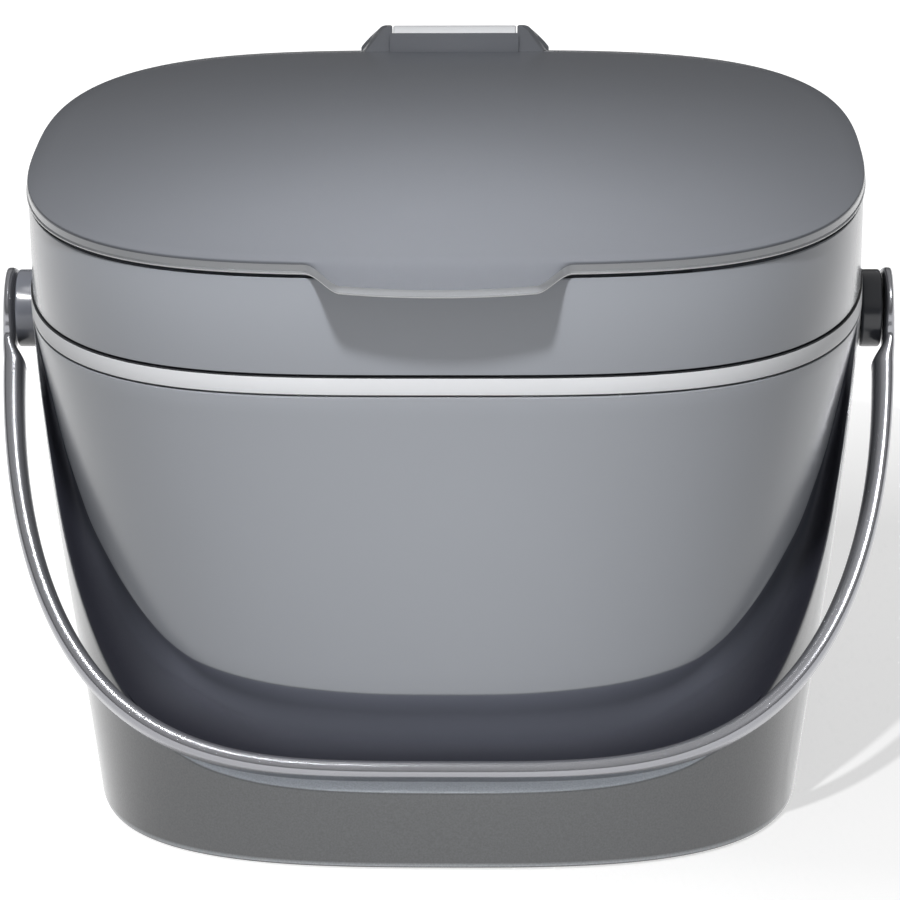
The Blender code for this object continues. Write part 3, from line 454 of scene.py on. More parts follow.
def loft(rings, closed, shape=None):
    """Closed body through rings of equal count; closed joins the last ring to the first."""
    shape = shape or bmesh.new()
    made = [[shape.verts.new(point) for point in points] for points in rings]
    count = len(rings[0])
    pairs = list(zip(made, made[1:]))
    if closed:
        pairs.append((made[-1], made[0]))
    for lower, upper in pairs:
        for i in range(count):
            j = (i + 1) % count
            shape.faces.new([lower[i], lower[j], upper[j], upper[i]])
    if not closed:
        for end in (made[0], made[-1]):
            middle = sum((vertex.co for vertex in end), Vector()) / count
            centre = shape.verts.new(middle)
            for i in range(count):
                shape.faces.new([end[i], end[(i + 1) % count], centre])
    return shape


def turned(profile, axis_point, steps, shape=None):
    """Solid turned about a line along X, from (place along the line, radius) pairs."""
    rings = []
    for place, radius in profile:
        points = []
        for i in range(steps):
            angle = 2 * math.pi * i / steps
            y = axis_point[1] + radius * math.cos(angle)
            points.append(Vector((place, y, axis_point[2] + radius * math.sin(angle))))
        rings.append(points)
    return loft(rings, False, shape)


def rounded_profile(start, end, radius, edge, steps=4):
    """(place, radius) pairs of a disc with rounded rims."""
    way = math.copysign(1.0, end - start)
    pairs = []
    for i in range(steps + 1):
        angle = math.pi / 2 * i / steps
        pairs.append((start + way * edge * (1 - math.cos(angle)), radius - edge * (1 - math.sin(angle))))
    for i in range(steps + 1):
        angle = math.pi / 2 * i / steps
        pairs.append((end - way * edge * (1 - math.sin(angle)), radius - edge * (1 - math.cos(angle))))
    return pairs


def edge_rings(inset, height, edge, outward, upward, turns, steps=4):
    """Rings that turn round a rounded edge, from the side to the top or the bottom."""
    rings = []
    for i in range(steps + 1):
        angle = math.pi / 2 * i / steps
        place = inset + outward * edge * (1 - math.cos(angle))
        rings.append(rim_ring_at(place, height - upward * edge * (1 - math.sin(angle)), turns))
    return rings


def material(name, colour, roughness, **sockets):
    made = bpy.data.materials.new(name)
    made.use_nodes = True
    shader = made.node_tree.nodes["Principled BSDF"]
    shader.inputs["Base Color"].default_value = (*colour, 1.0)
    shader.inputs["Roughness"].default_value = roughness
    for socket, value in sockets.items():
        shader.inputs[socket.replace("_", " ")].default_value = value
    return made


CLOUD_SIZE = 0.03
CLOUD_DETAIL = 3.0
TONE_SPREAD = 0.02
GLOSS_LOW = 0.93
GLOSS_HIGH = 1.07
GRAIN_SIZE = 0.0004
GRAIN_DETAIL = 2.0
GRAIN_HEIGHT = 0.00005
FLECK_LOW = 0.3
FLECK_HIGH = 0.7


def link(made, source, output, target, socket):
    made.node_tree.links.new(source.outputs[output], target.inputs[socket])


def add_node(made, kind, **values):
    node = made.node_tree.nodes.new(kind)
    for key, value in values.items():
        setattr(node, key, value)
    return node


def moulded(name, colour, roughness, grain=0.0, speckle=0.0, **sockets):
    """Moulded plastic: soft clouding of its colour and gloss, and a fine grain in its skin."""
    made = material(name, colour, roughness, **sockets)
    shader = made.node_tree.nodes["Principled BSDF"]
    place = add_node(made, "ShaderNodeTexCoord")
    cloud = add_node(made, "ShaderNodeTexNoise")
    cloud.inputs["Scale"].default_value = 1 / CLOUD_SIZE
    cloud.inputs["Detail"].default_value = CLOUD_DETAIL
    link(made, place, "Object", cloud, "Vector")
    tones = add_node(made, "ShaderNodeValToRGB")
    tones.color_ramp.elements[0].color = (*[part * (1 - TONE_SPREAD) for part in colour], 1.0)
    tones.color_ramp.elements[1].color = (*[part * (1 + TONE_SPREAD) for part in colour], 1.0)
    link(made, cloud, "Fac", tones, "Fac")
    link(made, tones, "Color", shader, "Base Color")
    gloss = add_node(made, "ShaderNodeMapRange")
    gloss.inputs["To Min"].default_value = roughness * GLOSS_LOW
    gloss.inputs["To Max"].default_value = roughness * GLOSS_HIGH
    link(made, cloud, "Fac", gloss, "Value")
    link(made, gloss, "Result", shader, "Roughness")
    fine = add_node(made, "ShaderNodeTexNoise")
    fine.inputs["Scale"].default_value = 1 / GRAIN_SIZE
    fine.inputs["Detail"].default_value = GRAIN_DETAIL
    link(made, place, "Object", fine, "Vector")
    if speckle:
        fleck = add_node(made, "ShaderNodeMapRange")
        fleck.inputs["From Min"].default_value = FLECK_LOW
        fleck.inputs["From Max"].default_value = FLECK_HIGH
        fleck.inputs["To Min"].default_value = 1 - speckle
        fleck.inputs["To Max"].default_value = 1 + speckle
        flecked = add_node(made, "ShaderNodeVectorMath", operation="SCALE")
        link(made, fine, "Fac", fleck, "Value")
        link(made, tones, "Color", flecked, "Vector")
        link(made, fleck, "Result", flecked, "Scale")
        link(made, flecked, "Vector", shader, "Base Color")
    if grain:
        bump = add_node(made, "ShaderNodeBump")
        bump.inputs["Strength"].default_value = grain
        bump.inputs["Distance"].default_value = GRAIN_HEIGHT
        link(made, fine, "Fac", bump, "Height")
        link(made, bump, "Normal", shader, "Normal")
    return made


def multiply_painted_light(made):
    """Multiplies a finish by the painted light and shade kept on each point of the tub."""
    shader = made.node_tree.nodes["Principled BSDF"]
    colour = shader.inputs["Base Color"].links[0].from_socket
    painted_level = add_node(made, "ShaderNodeAttribute", attribute_name="painted_light")
    scaled = add_node(made, "ShaderNodeVectorMath", operation="MULTIPLY")
    made.node_tree.links.new(colour, scaled.inputs[0])
    link(made, painted_level, "Color", scaled, 1)
    link(made, scaled, "Vector", shader, "Base Color")


# Painted light and shade on the tub's zones, as factors on its colour: painted shade in the recess, on the
# skirt and in a thin line at the base, painted light under the brow and a painted highlight line just above
# the base.
# Painted shade at the foot of the recess, painted light under its brow at the front, painted shade under its
# brow round the sides.
RECESS_FOOT_PAINTED_SHADE = (0.066, 0.065, 0.081)
RECESS_BROW_PAINTED_LIGHT = (1.10, 1.11, 1.23)
RECESS_SIDE_PAINTED_SHADE = (0.36, 0.37, 0.42)
# Painted shade on the shelf: nearly plain where the shelf is wide, as dark as the recess's foot where it
# narrows.
SHELF_PAINTED_SHADE = (0.90, 0.92, 0.91)
# Painted shade on the skirt and the lower wall, darkest at the bottom.
SKIRT_PAINTED_SHADE = (0.33, 0.325, 0.31)
# A painted shadow line along the foot of the tub and a painted highlight line just above it.
BASE_PAINTED_SHADOW = (0.06, 0.06, 0.06)
BASE_PAINTED_HIGHLIGHT = (1.5, 1.5, 1.45)
RECESS_SHADE_POWER = 1.6
SIDE_SHADE_START = 38.0
SIDE_SHADE_END = 58.0
SKIRT_SHADE_LOW = 0.35
SKIRT_SHADE_HIGH = 0.95
SHELF_SHADE_GAIN = 2.5

# Colours, linear.
CHARCOAL = (0.285, 0.300, 0.330)
# Painted shade: a darker copy of the charcoal for the collar and base plate.
COLLAR_SHADED_CHARCOAL = (0.262, 0.277, 0.307)
# Painted shade: a darker copy of the charcoal for the lid's top.
LID_SHADED_CHARCOAL = (0.190, 0.201, 0.226)
# Painted light: a lighter copy of the charcoal for the side of the lid's rim.
RIM_LIT_CHARCOAL = (0.48, 0.495, 0.52)
# Painted highlight: a near-white line along the bead under the lid's rim.
BEAD_PAINTED_HIGHLIGHT = (0.90, 0.91, 0.92)
# Painted shade: a near-black copy of the charcoal for the pivot drums.
DRUM_SHADED_CHARCOAL = (0.060, 0.063, 0.073)
PALE_GREY = (0.66, 0.67, 0.69)
BUCKET_GREY = (0.42, 0.43, 0.45)
HANDLE_GREY = (0.33, 0.333, 0.355)
# Painted shadow inside the gaps at the collar and the band.
GAP_PAINTED_SHADOW = (0.02, 0.021, 0.024)
STEEL = (0.56, 0.56, 0.57)
SILICONE = (0.52, 0.53, 0.545)
RUBBER = (0.05, 0.05, 0.055)
LINER_CHARCOAL = (0.12, 0.126, 0.142)


def make_tub(turns, finish, recess_finish, skirt_finish):
    columns = []
    for turn in turns:
        outer = tub_column(turn, 0.0, TOP_EDGE)
        inner = tub_column(turn, TUB_WALL, 0.0)
        columns.append(outer + inner[::-1])
    shape = bmesh.new()
    # Painted light and shade for each point of the tub, multiplied into its finishes.
    painted_light = shape.verts.layers.float_color.new("painted_light")
    made = [[shape.verts.new(point) for point in column] for column in columns]
    plain = Vector((1.0, 1.0, 1.0))
    for turn, column in zip(turns, made):
        angle = from_front(turn)
        recessed = angle < RECESS_END_ANGLE
        shelf = min(1.0, SHELF_SHADE_GAIN * smooth_share(SETBACK_SHARES, min(angle, RECESS_END_ANGLE)))
        for j, vertex in enumerate(column):
            shade = plain
            # Painted shade: darker towards the bottom of the skirt and of the wall round the sides and back.
            if j < COVE_POINTS or not recessed:
                climb = (vertex.co.z / TUB_TOP - SKIRT_SHADE_LOW) / (SKIRT_SHADE_HIGH - SKIRT_SHADE_LOW)
                shade = Vector(SKIRT_PAINTED_SHADE).lerp(plain, eased(climb))
            # Painted shade in the recess, darkest at its foot, turning to painted light under the brow at the
            # front and to lighter shade round the sides.
            if recessed and SHELF_POINTS <= j < COVE_POINTS:
                up = (j - SHELF_POINTS) / (COVE_POINTS - SHELF_POINTS)
                round_side = eased((angle - SIDE_SHADE_START) / (SIDE_SHADE_END - SIDE_SHADE_START))
                brow_painted_level = Vector(RECESS_BROW_PAINTED_LIGHT).lerp(Vector(RECESS_SIDE_PAINTED_SHADE), round_side)
                shade = Vector(RECESS_FOOT_PAINTED_SHADE).lerp(brow_painted_level, up**RECESS_SHADE_POWER)
            # Painted shade on the shelf, fading out where the shelf is wide.
            elif recessed and SKIRT_POINTS + 1 < j < SHELF_POINTS:
                shade = Vector(RECESS_FOOT_PAINTED_SHADE).lerp(Vector(SHELF_PAINTED_SHADE), shelf)
            # Painted shadow line at the base, and a painted highlight line just above it.
            elif j < BASE_SHADOW_POINTS:
                shade = Vector(BASE_PAINTED_SHADOW)
            elif j == BASE_SHADOW_POINTS + 1:
                shade = Vector(BASE_PAINTED_HIGHLIGHT)
            vertex[painted_light] = (*shade, 1.0)
    for i, column in enumerate(made):
        following = made[(i + 1) % len(made)]
        angle = from_front(turns[i])
        recessed = angle < RECESS_END_ANGLE
        skirt_points = SHELF_POINTS if angle < SHELF_END_ANGLE else SKIRT_POINTS + 1
        for j in range(len(column)):
            k = (j + 1) % len(column)
            face = shape.faces.new([column[j], following[j], following[k], column[k]])
            if j < skirt_points or not recessed and j < SHELF_POINTS:
                face.material_index = SKIRT_SLOT
            elif recessed and j < COVE_POINTS:
                face.material_index = RECESS_SLOT
    for side in (-1, 1):
        start = side * (RIM_HALF_WIDTH - TUB_WALL / 2)
        end = side * (DRUM_INNER - RUN_GAP)
        profile = rounded_profile(start, end, DRUM_RADIUS - DRUM_EDGE, RUN_GAP)
        turned(profile, (0.0, 0.0, PIVOT_HEIGHT), PAD_STEPS, shape)
    tub = dress("tub_shell", shape, finish, "bin", "outer_body")
    tub.data.materials.append(recess_finish)
    tub.data.materials.append(skirt_finish)
    return tub


def inset_of(point):
    """How far a point lies inside the rim's outline, along the line to the middle."""
    x = abs(point.x) / RIM_HALF_WIDTH
    y = abs(point.y) / RIM_HALF_DEPTH
    reach = max(x, y)
    for _ in range(INSET_ROUNDS):
        over = (x / reach) ** RIM_POWER_ACROSS + (y / reach) ** RIM_POWER_ALONG
        reach *= over**INSET_POWER
    return (1 / reach - 1) * math.hypot(point.x, point.y)


def make_collar(turns, finish, gap_shadow_finish):
    inner = COLLAR_INSET + COLLAR_WALL
    rings = edge_rings(COLLAR_INSET, COLLAR_BOTTOM, COLLAR_EDGE / 2, 1, -1, turns)[::-1]
    rings += edge_rings(COLLAR_INSET, COLLAR_TOP, COLLAR_EDGE, 1, 1, turns)
    rings += edge_rings(inner, COLLAR_TOP, COLLAR_EDGE, -1, 1, turns)[::-1]
    rings += [rim_ring_at(inner, COLLAR_BOTTOM, turns)]
    shape = loft(rings, closed=True)
    # Painted shadow on the collar's bottom and on the inner edge of its top, in the gaps.
    for face in shape.faces:
        middle = face.calc_center_median()
        low = middle.z < COLLAR_BOTTOM + COLLAR_EDGE / 4
        if low or middle.z > COLLAR_TOP - COLLAR_EDGE / 4 and inset_of(middle) < COLLAR_INSET + COLLAR_EDGE:
            face.material_index = GAP_SHADOW_SLOT
    collar = dress("collar_moulding", shape, finish, "bin", "collar")
    collar.data.materials.append(gap_shadow_finish)


def arc_points(centre, radius, start, end, steps):
    points = []
    for i in range(steps + 1):
        angle = math.radians(start + (end - start) * i / steps)
        points.append((centre[0] + radius * math.cos(angle), centre[1] + radius * math.sin(angle)))
    return points


def side_body(profile, half_width_at, shape, edge=SIDE_EDGE):
    """Solid of a side outline (y, z), as wide as half_width_at gives for each height, with eased rims."""
    count = len(profile)
    middle_y = sum(y for y, z in profile) / count
    middle_z = sum(z for y, z in profile) / count
    rings = []
    for place, shrink in ((-1, 1), (-1, 0), (1, 0), (1, 1)):
        points = []
        for y, z in profile:
            reach = math.hypot(y - middle_y, z - middle_z)
            scale = 1 - shrink * edge / reach
            x = place * (half_width_at(z) - (0.0 if shrink else edge))
            points.append(Vector((x, middle_y + (y - middle_y) * scale, middle_z + (z - middle_z) * scale)))
        rings.append(points)
    return loft(rings, False, shape)


def make_band(turns, finish, gap_shadow_finish):
    rings = edge_rings(0.0, BAND_BOTTOM, RING_EDGE, 1, -1, turns)[::-1]
    rings += edge_rings(0.0, BAND_TOP, RING_EDGE, 1, 1, turns)
    rings += [rim_ring_at(RING_WALL, BAND_TOP, turns), rim_ring_at(RING_WALL, BAND_BOTTOM, turns)]
    shape = loft(rings, closed=True)
    # Painted shadow on the band's rounded top and bottom edges, in the gaps.
    for face in shape.faces:
        middle = face.calc_center_median()
        if not BAND_BOTTOM + RING_EDGE / 2 < middle.z < BAND_TOP - RING_EDGE / 2:
            face.material_index = GAP_SHADOW_SLOT
    arm_front = RIM_HALF_DEPTH + RUN_GAP
    arm_rear = arm_front + ARM_THICKNESS
    arm_root = RIM_HALF_DEPTH - RING_WALL / 2
    profile = [
        (arm_root, BAND_BOTTOM + RUN_GAP),
        (arm_front, BAND_BOTTOM + RUN_GAP),
        (arm_rear, BAND_BOTTOM + ARM_THICKNESS),
    ]
    profile += arc_points((HINGE_Y, HINGE_Z), BARREL_RADIUS, *BARREL_ARC, BARREL_STEPS)
    profile += [
        (arm_front, HINGE_Z - BARREL_RADIUS),
        (arm_front, BAND_TOP - RUN_GAP),
        (arm_root, BAND_TOP - RUN_GAP),
    ]
    side_body(profile, lambda z: BARREL_HALF_WIDTH, shape)
    band = dress("band_and_hinge_arm", shape, finish, "bin", "rim_ring")
    band.data.materials.append(gap_shadow_finish)


def tab_share(x):
    """How far out the thumb tab reaches at a place across the front, from 0 to 1."""
    span = (TAB_ROOT_HALF_WIDTH - abs(x)) / (TAB_ROOT_HALF_WIDTH - TAB_TIP_HALF_WIDTH)
    bow = TAB_BOW_SHARE * min(1.0, abs(x) / TAB_TIP_HALF_WIDTH) ** 2
    return eased(span) * (1 - bow)


def lid_ring(inset, height, turns, drop=0.0, reach=0.0):
    points = []
    for turn in turns:
        x, y = rim_point(inset, turn)
        share = tab_share(x) if y < 0 else 0.0
        points.append(Vector((x, y - reach * share, height - drop * share)))
    return points


def dome_ring(share, height, rise, turns):
    points = []
    for turn in turns:
        x, y = rim_point(LID_EDGE, turn)
        points.append(Vector((x * share, y * share, height + rise * (1 - share * share))))
    return points


def tab_turns(turns):
    """Adds turns across the thumb tab, where its outline bends."""
    across = []
    for i in range(TAB_STEPS + 1):
        share = 2 * i / TAB_STEPS - 1
        x = TAB_SPAN_SCALE * TAB_ROOT_HALF_WIDTH * share
        sine = -math.sqrt(max(0.0, 1 - (abs(x) / RIM_HALF_WIDTH) ** RIM_POWER_ACROSS))
        across.append(math.atan2(sine, math.copysign((abs(x) / RIM_HALF_WIDTH) ** (RIM_POWER_ACROSS / 2), x)))
    low = across[0] % (2 * math.pi)
    high = across[-1] % (2 * math.pi)
    kept = [turn for turn in turns if not low - TAB_SPARE < turn % (2 * math.pi) < high + TAB_SPARE]
    return sorted(turn % (2 * math.pi) for turn in kept + across)


def hump_half_width(z):
    top = HINGE_Z + EAR_RADIUS
    low = LID_BOTTOM + HUMP_SINK
    t = max(0.0, min(1.0, (z - low) / (top - low)))
    shoulder = EAR_ROUND * max(0.0, 1 - (top - z) / EAR_ROUND) ** 2
    return HUMP_FOOT_HALF_WIDTH + (HUMP_TOP_HALF_WIDTH - HUMP_FOOT_HALF_WIDTH) * t - shoulder


def lid_shape(turns):
    dense = tab_turns(turns)
    steps = LID_EDGE_STEPS
    rings = [dome_ring(share, LID_RIM_TOP, LID_DOME, dense) for share in shares(DOME_STEPS)]
    for i in range(1, steps + 1):
        angle = math.pi / 2 * i / steps
        share = math.sin(angle)
        height = LID_RIM_TOP - LID_EDGE * (1 - math.cos(angle))
        reach = (TAB_REACH - LID_EDGE / 2) * i / steps
        inset = RIM_BEAD + (LID_EDGE - RIM_BEAD) * (1 - share)
        rings.append(lid_ring(inset, height, dense, TAB_TOP_DROP * i / steps, reach))
    side_first = len(rings) - 1
    for i in range(steps + 1):
        share = i / steps
        inset = RIM_BEAD * (1 - share) ** 2
        height = LID_BOTTOM + RIM_BEAD + RIM_BEAD_HEIGHT * (1 - share)
        rings.append(lid_ring(inset, height, dense, TAB_BOTTOM_DROP, TAB_REACH))
    for i in range(steps + 1):
        angle = math.pi / 2 * i / steps
        share = 1 - math.cos(angle)
        height = LID_BOTTOM + RIM_BEAD * (1 - math.sin(angle))
        reach = TAB_REACH - LID_EDGE * share
        rings.append(lid_ring(LID_FIRST_STEP * share, height, dense, TAB_BOTTOM_DROP, reach))
    bead_first = side_first + steps
    bead_last = len(rings) - 2
    under = LID_RIM_TOP - LID_PLATE + LID_EDGE
    rings += [rim_ring_at(LID_LAND, LID_BOTTOM, dense), rim_ring_at(LID_LAND, under, dense)]
    rings += [dome_ring(share, under, LID_DOME - LID_EDGE, dense) for share in UNDER_SHARES]
    shape = loft(rings, closed=False)
    shape.faces.ensure_lookup_table()
    # Painted light on the side of the lid's rim, and a painted highlight along the bead below it.
    for row in range(side_first, bead_last):
        for face in shape.faces[row * len(dense) : (row + 1) * len(dense)]:
            face.material_index = HIGHLIGHT_BEAD_SLOT if row >= bead_first else LIT_RIM_SLOT
    return shape


def between_body(profile, inner_at, outer_at, side, shape, edge=SIDE_EDGE):
    """Solid of a side outline (y, z) on one side, between two widths, with eased rims."""
    count = len(profile)
    middle_y = sum(y for y, z in profile) / count
    middle_z = sum(z for y, z in profile) / count
    rings = []
    for width_at, way, shrink in ((inner_at, 0, 1), (inner_at, 1, 0), (outer_at, -1, 0), (outer_at, 0, 1)):
        points = []
        for y, z in profile:
            reach = math.hypot(y - middle_y, z - middle_z)
            scale = 1 - shrink * edge / reach
            x = side * (width_at(z) + way * edge)
            points.append(Vector((x, middle_y + (y - middle_y) * scale, middle_z + (z - middle_z) * scale)))
        rings.append(points)
    return loft(rings, False, shape)


def make_lid(turns, finish, lit_rim_finish, highlight_bead_finish):
    shape = lid_shape(turns)
    front = RIM_HALF_DEPTH - HUMP_FRONT
    low = LID_BOTTOM + HUMP_SINK
    top = HINGE_Z + EAR_RADIUS
    slope = [(front, low), (front, LID_RIM_TOP - HUMP_SINK / 2)]
    web = slope + [(RIM_HALF_DEPTH - y, top - WEB_DROP - z) for y, z in WEB_ROUND]
    web += [(RIM_HALF_DEPTH, low)]
    side_body(web[::-1], lambda z: BARREL_HALF_WIDTH + 2 * RUN_GAP, shape, WEB_EDGE)
    ear = slope + arc_points((HINGE_Y, HINGE_Z), EAR_RADIUS, *EAR_ARC, EAR_STEPS)
    ear += [(HINGE_Y - EAR_RADIUS, low)]
    for side in (-1, 1):
        between_body(ear, lambda z: BARREL_HALF_WIDTH + RUN_GAP, hump_half_width, side, shape)
    lid = dress("lid_cover", shape, finish, "lid", "lid_panel")
    lid.data.materials.append(lit_rim_finish)
    lid.data.materials.append(highlight_bead_finish)
    return lid


def handle_section(place, width, depth, outward, normal):
    points = []
    for i in range(HANDLE_SECTION_STEPS):
        angle = 2 * math.pi * (i + 1 / 2) / HANDLE_SECTION_STEPS
        u = width / 2 * math.copysign(abs(math.cos(angle)) ** HANDLE_SECTION_POWER, math.cos(angle))
        v = depth / 2 * math.copysign(abs(math.sin(angle)) ** HANDLE_SECTION_POWER, math.sin(angle))
        points.append(place + outward * u + normal * v)
    return points


def make_handle(finish):
    tilt = math.radians(HANDLE_TILT)
    down = Vector((0.0, -math.cos(tilt), -math.sin(tilt)))
    normal = Vector((0.0, -math.sin(tilt), math.cos(tilt)))
    pivot = Vector((0.0, 0.0, PIVOT_HEIGHT))
    across = Vector((1.0, 0.0, 0.0))
    half_width = HANDLE_HALF_WIDTH - HANDLE_ARM_WIDTH / 2
    length = HANDLE_LENGTH - HANDLE_ARM_WIDTH / 2
    paddle_x = PADDLE_OUTER - PADDLE_THICKNESS / 2
    corner = CORNER_SHARE * length
    widths = (
        (0.0, HANDLE_ARM_WIDTH),
        (corner / 2, HANDLE_MIDDLE_WIDTH),
        (corner, HANDLE_CORNER_WIDTH),
        (length, HANDLE_BAR_WIDTH),
    )

    def arm_point(turn):
        x, s = plan_point(half_width, -length, length, HANDLE_POWER_ACROSS, HANDLE_POWER_ALONG, turn)
        return x, -s

    neck = DRUM_RADIUS + RUN_GAP
    start = PADDLE_RADIUS + PADDLE_BLEND
    rings = []
    for i in range(1, PADDLE_STEPS + 1):
        angle = math.pi * (1 - PADDLE_SWEEP * i / PADDLE_STEPS)
        s = PADDLE_RADIUS * math.cos(angle)
        depth = 2 * PADDLE_RADIUS * math.sin(angle)
        place = pivot + down * s + across * paddle_x
        rings.append(handle_section(place, PADDLE_THICKNESS, depth, across, normal))
    last_s = s
    last_depth = depth
    first = math.asin((start / length) ** (HANDLE_POWER_ALONG / 2))
    x_start = arm_point(-first)[0]
    depths = ((last_s, last_depth), (neck, (PADDLE_RADIUS + HANDLE_ARM_DEPTH) / 2), (start, HANDLE_ARM_DEPTH))
    for i in range(1, NECK_STEPS):
        s = last_s + (start - last_s) * i / NECK_STEPS
        share = eased((s - neck) / (start - neck))
        width = PADDLE_THICKNESS + (HANDLE_ARM_WIDTH - PADDLE_THICKNESS) * share
        x = paddle_x + (x_start - paddle_x) * share
        place = pivot + down * s + across * x
        rings.append(handle_section(place, width, smooth_share(depths, s), across, normal))
    for i in range(BOW_STEPS):
        t = i / BOW_STEPS
        turn = -(first + (math.pi / 2 - first) * t**HANDLE_SPACING)
        x, s = arm_point(turn)
        ahead = arm_point(turn - TANGENT_STEP)
        tangent = Vector((ahead[0] - x, 0.0, 0.0)) + down * (ahead[1] - s)
        tangent.normalize()
        outward = normal.cross(tangent)
        width = smooth_share(widths, s)
        inward = (width - HANDLE_ARM_WIDTH) / 2
        depth = HANDLE_ARM_DEPTH + (HANDLE_BAR_DEPTH - HANDLE_ARM_DEPTH) * t
        place = pivot + down * s + across * x - outward * inward
        rings.append(handle_section(place, width, depth, outward, normal))
    middle = pivot + down * (HANDLE_LENGTH - HANDLE_BAR_WIDTH / 2)
    rings.append(handle_section(middle, HANDLE_BAR_WIDTH, HANDLE_BAR_DEPTH, down, normal))
    left = []
    for points in rings[-2::-1]:
        left.append([Vector((-point.x, point.y, point.z)) for point in points])
    shape = loft(rings + left, closed=False)
    stands_for = ("handle_bar", "handle_arm_left", "handle_arm_right")
    return dress("bail_handle", shape, finish, "bail", *stands_for)


def make_drums(finish):
    made = []
    for name, side in (("left", -1), ("right", 1)):
        ends = (side * DRUM_INNER, side * DRUM_OUTER)
        profile = rounded_profile(*ends, DRUM_RADIUS, DRUM_EDGE, DRUM_EDGE_STEPS)
        shape = turned(profile, (0.0, 0.0, PIVOT_HEIGHT), DRUM_STEPS)
        made.append(dress(f"drum_{name}", shape, finish, "bin", f"pivot_boss_{name}"))
    return made


def bucket_ring(height, inset, turns):
    down = 1 - height / COLLAR_TOP
    front = BUCKET_RIM_INSET + BUCKET_FRONT_DRAFT * down - RIM_HALF_DEPTH + inset
    rear = RIM_HALF_DEPTH - BUCKET_RIM_INSET - BUCKET_REAR_DRAFT * down - inset
    half_width = RIM_HALF_WIDTH - BUCKET_RIM_INSET - BUCKET_SIDE_DRAFT * down - inset
    along = RIM_POWER_ALONG + (BUCKET_POWER_ALONG - RIM_POWER_ALONG) * down
    across = RIM_POWER_ACROSS + (BASE_POWER_ACROSS - RIM_POWER_ACROSS) * down
    return [Vector((*plan_point(half_width, front, rear, across, along, turn), height)) for turn in turns]


def bucket_skin(skin, turns):
    """Rings of one skin of the bucket, from its bottom round the corner and up the wall."""
    radius = BUCKET_BOTTOM_RADIUS - skin
    floor_height = BUCKET_BOTTOM + skin
    rings = []
    for i in range(BUCKET_CORNER_STEPS + 1):
        angle = math.pi / 2 * i / BUCKET_CORNER_STEPS
        height = floor_height + radius * (1 - math.cos(angle))
        rings.append(bucket_ring(height, skin + radius * (1 - math.sin(angle)), turns))
    start = floor_height + radius
    rise = BUCKET_TOP - BUCKET_EDGE - start
    return rings + [bucket_ring(start + rise * share, skin, turns) for share in shares(BUCKET_WALL_STEPS)]


def make_bucket(turns, finish):
    rings = bucket_skin(0.0, turns)
    for i in range(1, BUCKET_EDGE_STEPS + 1):
        angle = math.pi / 2 * i / BUCKET_EDGE_STEPS
        inset = BUCKET_EDGE * (1 - math.cos(angle))
        rings.append(bucket_ring(BUCKET_TOP - BUCKET_EDGE * (1 - math.sin(angle)), inset, turns))
    for i in range(BUCKET_EDGE_STEPS + 1):
        angle = math.pi / 2 * (1 - i / BUCKET_EDGE_STEPS)
        inset = BUCKET_WALL - BUCKET_EDGE * (1 - math.cos(angle))
        rings.append(bucket_ring(BUCKET_TOP - BUCKET_EDGE * (1 - math.sin(angle)), inset, turns))
    rings += bucket_skin(BUCKET_WALL, turns)[-2::-1]
    dress("bucket", loft(rings, closed=False), finish, "bin", "inner_bucket")


def paint_node(name, finish):
    node = nodes[name]
    node.data.materials.clear()
    node.data.materials.append(finish)


turns = even_turns(OUTLINE_STEPS)
gloss = {"Coat_Weight": 0.4, "Coat_Roughness": 0.12}
collar_shaded_charcoal = moulded("charcoal_gloss_painted_shade", COLLAR_SHADED_CHARCOAL, roughness=0.24, grain=0.10, **gloss)
rim_lit_charcoal = moulded("charcoal_rim_painted_light", RIM_LIT_CHARCOAL, roughness=0.24, grain=0.08, **gloss)
lid_shaded_charcoal = moulded("charcoal_lid_painted_shade", LID_SHADED_CHARCOAL, roughness=0.25, grain=0.08)
bead_highlight = moulded("bead_painted_highlight", BEAD_PAINTED_HIGHLIGHT, roughness=0.2, grain=0.05)
drum_shaded_charcoal = moulded("charcoal_drum_painted_shade", DRUM_SHADED_CHARCOAL, roughness=0.2, grain=0.1)
pale = moulded("pale_grey", PALE_GREY, roughness=0.35, grain=0.08)
handle_grey = moulded("handle_satin", HANDLE_GREY, roughness=0.22, Metallic=0.8)
gap_painted_shadow = moulded("gap_painted_shadow", GAP_PAINTED_SHADOW, roughness=0.5)
gloss = {"Coat_Weight": 0.3, "Coat_Roughness": 0.15}
face_charcoal = moulded("charcoal_face", CHARCOAL, roughness=0.31, grain=0.10, **gloss)
recess_charcoal = moulded("charcoal_recess", CHARCOAL, roughness=0.55, grain=0.15, Specular_IOR_Level=0.3)
gloss = {"Coat_Weight": 0.7, "Coat_Roughness": 0.08}
skirt_charcoal = moulded("charcoal_skirt", CHARCOAL, roughness=0.34, grain=0.6, speckle=0.14, **gloss)
# The painted light and shade of the tub's zones is multiplied into these three finishes.
for finish in (face_charcoal, recess_charcoal, skirt_charcoal):
    multiply_painted_light(finish)

